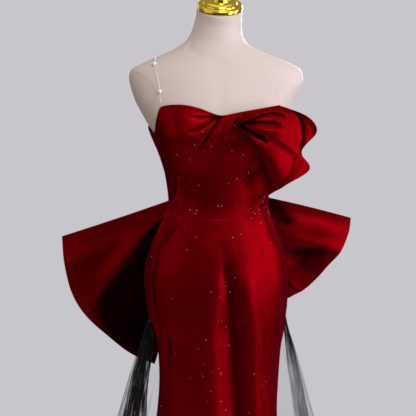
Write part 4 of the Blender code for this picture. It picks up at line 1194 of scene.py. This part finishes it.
def makeStand(gold, dullGold):
    capProfile = ((0.0, 0.034), (0.007, 0.0336), (0.012, 0.032), (0.016, 0.029), (0.018, 0.026),
                  (0.0192, 0.0215), (0.0205, 0.0175), (0.026, 0.0172), (0.032, 0.0164), (0.0365, 0.0148),
                  (0.0388, 0.012), (0.04, 0.0092), (0.0425, 0.01), (0.0462, 0.0103), (0.049, 0.009),
                  (0.0508, 0.0062), (0.0515, 0.003), (0.0515, 0), (0, 0))
    capPlace = (*dressForm["neck"], dressForm["top"] + dressForm["capGap"])
    cap = turnedPiece("neckCap", capProfile, 96, dressForm["tilt"], capPlace, 0.0006)
    finishPiece(cap, gold, "polished_gold", "form_neck_cap")
    baseProfile = ((0.0, 0.03), (0.0255, 0.03), (0.03, 0.022), (0.045, 0.0172), (0.06, 0.014),
                   (0.1, 0.0118), (0.15, 0.01), (0.165, 0.006), (0.165, 0), (0, 0))
    finishPiece(turnedPiece("standBase", baseProfile, 128), dullGold, "polished_gold", "form_base")
    poleProfile = ((0.0, 0.7997), (0.016, 0.7997), (0.016, 0.43), (0.0174, 0.429), (0.0174, 0.391),
                   (0.016, 0.39), (0.016, 0.0303), (0, 0.0303))
    pole = turnedPiece("standPole", poleProfile, 64, rounding=0.0005)
    finishPiece(pole, dullGold, "polished_gold", "form_pole")
    print("dress form made")


# pearl strap: the string's way over the form, the same as in the CAD model
strap = {
    "route": (
        # degrees round the form, z, how far the string's middle is off the form
        (-42, 1.2958, 0.003), (-40.6, 1.315, 0.0049), (-39.2, 1.338, 0.0049), (-40.4, 1.362, 0.0049),
        (-46.6, 1.381, 0.0049), (-63, 1.3965, 0.0049), (-90, 1.4035, 0.0049), (-117, 1.3965, 0.0049),
        (-131, 1.381, 0.0049), (-136, 1.358, 0.0049), (-137, 1.32, 0.0049), (-136, 1.288, 0.0049),
        (-134, 1.2561, 0.003)),
    # places along the route, the radius there and the fineness of the spheres
    "pearls": (((1.5, 4.2, 6.9, 8.4, 10.4), 0.0045, 24),
               ((0.5, 2.8, 4.95, 5.35, 7.6, 9.3, 11.3), 0.0021, 12)),
    "stringRadius": 0.0006, "stringSteps": 90,
}


def makeStrap(pearl):
    points = [formPoint(degrees, z) + outwardNormal(formPoint, degrees, z) * off
              for degrees, z, off in strap["route"]]
    way = smoothTable(*((i, *point) for i, point in enumerate(points)))

    def at(place):
        return Vector([valueAt(way, column, place) for column in (1, 2, 3)])

    bm = bmesh.new()
    for places, radius, fineness in strap["pearls"]:
        for place in places:
            bmesh.ops.create_uvsphere(bm, u_segments=fineness, v_segments=fineness * 2 // 3, radius=radius,
                                      matrix=Matrix.Translation(at(place)))
    finishPiece(addMesh("strapPearls", bm), pearl, "pearl", "pearl_strap")
    curve = bpy.data.curves.new("strapString", "CURVE")
    curve.dimensions = "3D"
    curve.bevel_depth = strap["stringRadius"]
    curve.bevel_resolution = 2
    curve.use_fill_caps = True
    spline = curve.splines.new("POLY")
    steps = strap["stringSteps"]
    spline.points.add(steps)
    for i, spot in enumerate(spline.points):
        spot.co = (*at(i * (len(points) - 1) / steps), 1)
    finishPiece(addObject("strapString", curve), pearl, "pearl")
    print("pearl strap made")


# glitter: small flat sequins scattered over the satin and the tulle, closer in a few spots
glitter = {
    "seed": 7, "gown": 380, "tulle": 90, "tulleCluster": 16, "radius": (0.0003, 0.00065), "thick": 0.0003,
    "lean": 0.35, "levels": (0.03, 1.28), "topMargin": 0.008, "offCloth": 0.0003,
    "underBow": {"x": -0.13, "y": 0.062, "z": (0.7, 0.79)},
    "clusters": (
        # degrees, z, how far they spread in degrees and in z, how many
        (-28, 1.058, 5, 0.006, 4), (36, 1.056, 9, 0.006, 6), (60, 1.066, 5, 0.02, 7),
        (-8, 0.725, 12, 0.06, 8), (-72, 0.722, 4, 0.02, 6), (-14, 1.225, 6, 0.014, 4)),
}


def addSequin(bm, place, normal, chance):
    lean = Vector([chance.uniform(-1, 1) for _ in range(3)]) * glitter["lean"]
    turn = (normal + lean).to_track_quat("Z", "Y").to_matrix().to_4x4()
    radius = chance.uniform(*glitter["radius"])
    bmesh.ops.create_cone(bm, cap_ends=True, segments=6, radius1=radius, radius2=radius * 0.7,
                          depth=glitter["thick"], matrix=Matrix.Translation(place) @ turn)


def makeGlitter(material):
    chance = random.Random(glitter["seed"])
    spots = [(chance.uniform(-180, 180), chance.uniform(*glitter["levels"])) for _ in range(glitter["gown"])]
    for degrees, z, spread, rise, count in glitter["clusters"]:
        spots += [(chance.gauss(degrees, spread), chance.gauss(z, rise)) for _ in range(count)]
    bm = bmesh.new()
    for degrees, z in spots:
        if z > topEdge(degrees) - glitter["topMargin"]:
            continue
        normal = outwardNormal(gownPoint, degrees, z)
        addSequin(bm, gownPoint(degrees, z, glitter["offCloth"]), normal, chance)
    finishPiece(addMesh("glitterOnGown", bm), material, "wine_satin")
    cloth = list(bpy.data.objects["tulleTrain"].data.vertices)
    box = glitter["underBow"]
    underBow = [spot for spot in cloth if spot.co.x < box["x"] and spot.co.y < box["y"]
                and box["z"][0] < spot.co.z < box["z"][1]]
    bm = bmesh.new()
    for spot in chance.sample(cloth, glitter["tulle"]) + chance.sample(underBow, glitter["tulleCluster"]):
        addSequin(bm, spot.co, spot.normal, chance)
    finishPiece(addMesh("glitterOnTulle", bm), material, "black_tulle")


def main():
    for makeGroup in (makeSatinWeave, makeClothDrift, makeGlitterDots, makeNetThreads, makeFineGrain):
        makeGroup()
    makeCamera()
    makeLight()
    makeFloor(makeFloorMaterial())
    satin = makeSatin()
    gold = makeGoldMaterial("polishedGold", 0.15)
    dullGold = makeGoldMaterial("standGold", 0.22)
    pearl = makePearlMaterial()
    makeForm(makeFormMaterial())
    makeStand(gold, dullGold)
    makeGown(satin)
    makeBand(satin)
    makeKnot(satin)
    makeBows(satin)
    makeTrain(makeTulleMaterial())
    makeStrap(pearl)
    makeGlitter(makeSequinMaterialWithPaintedGlint())


main()
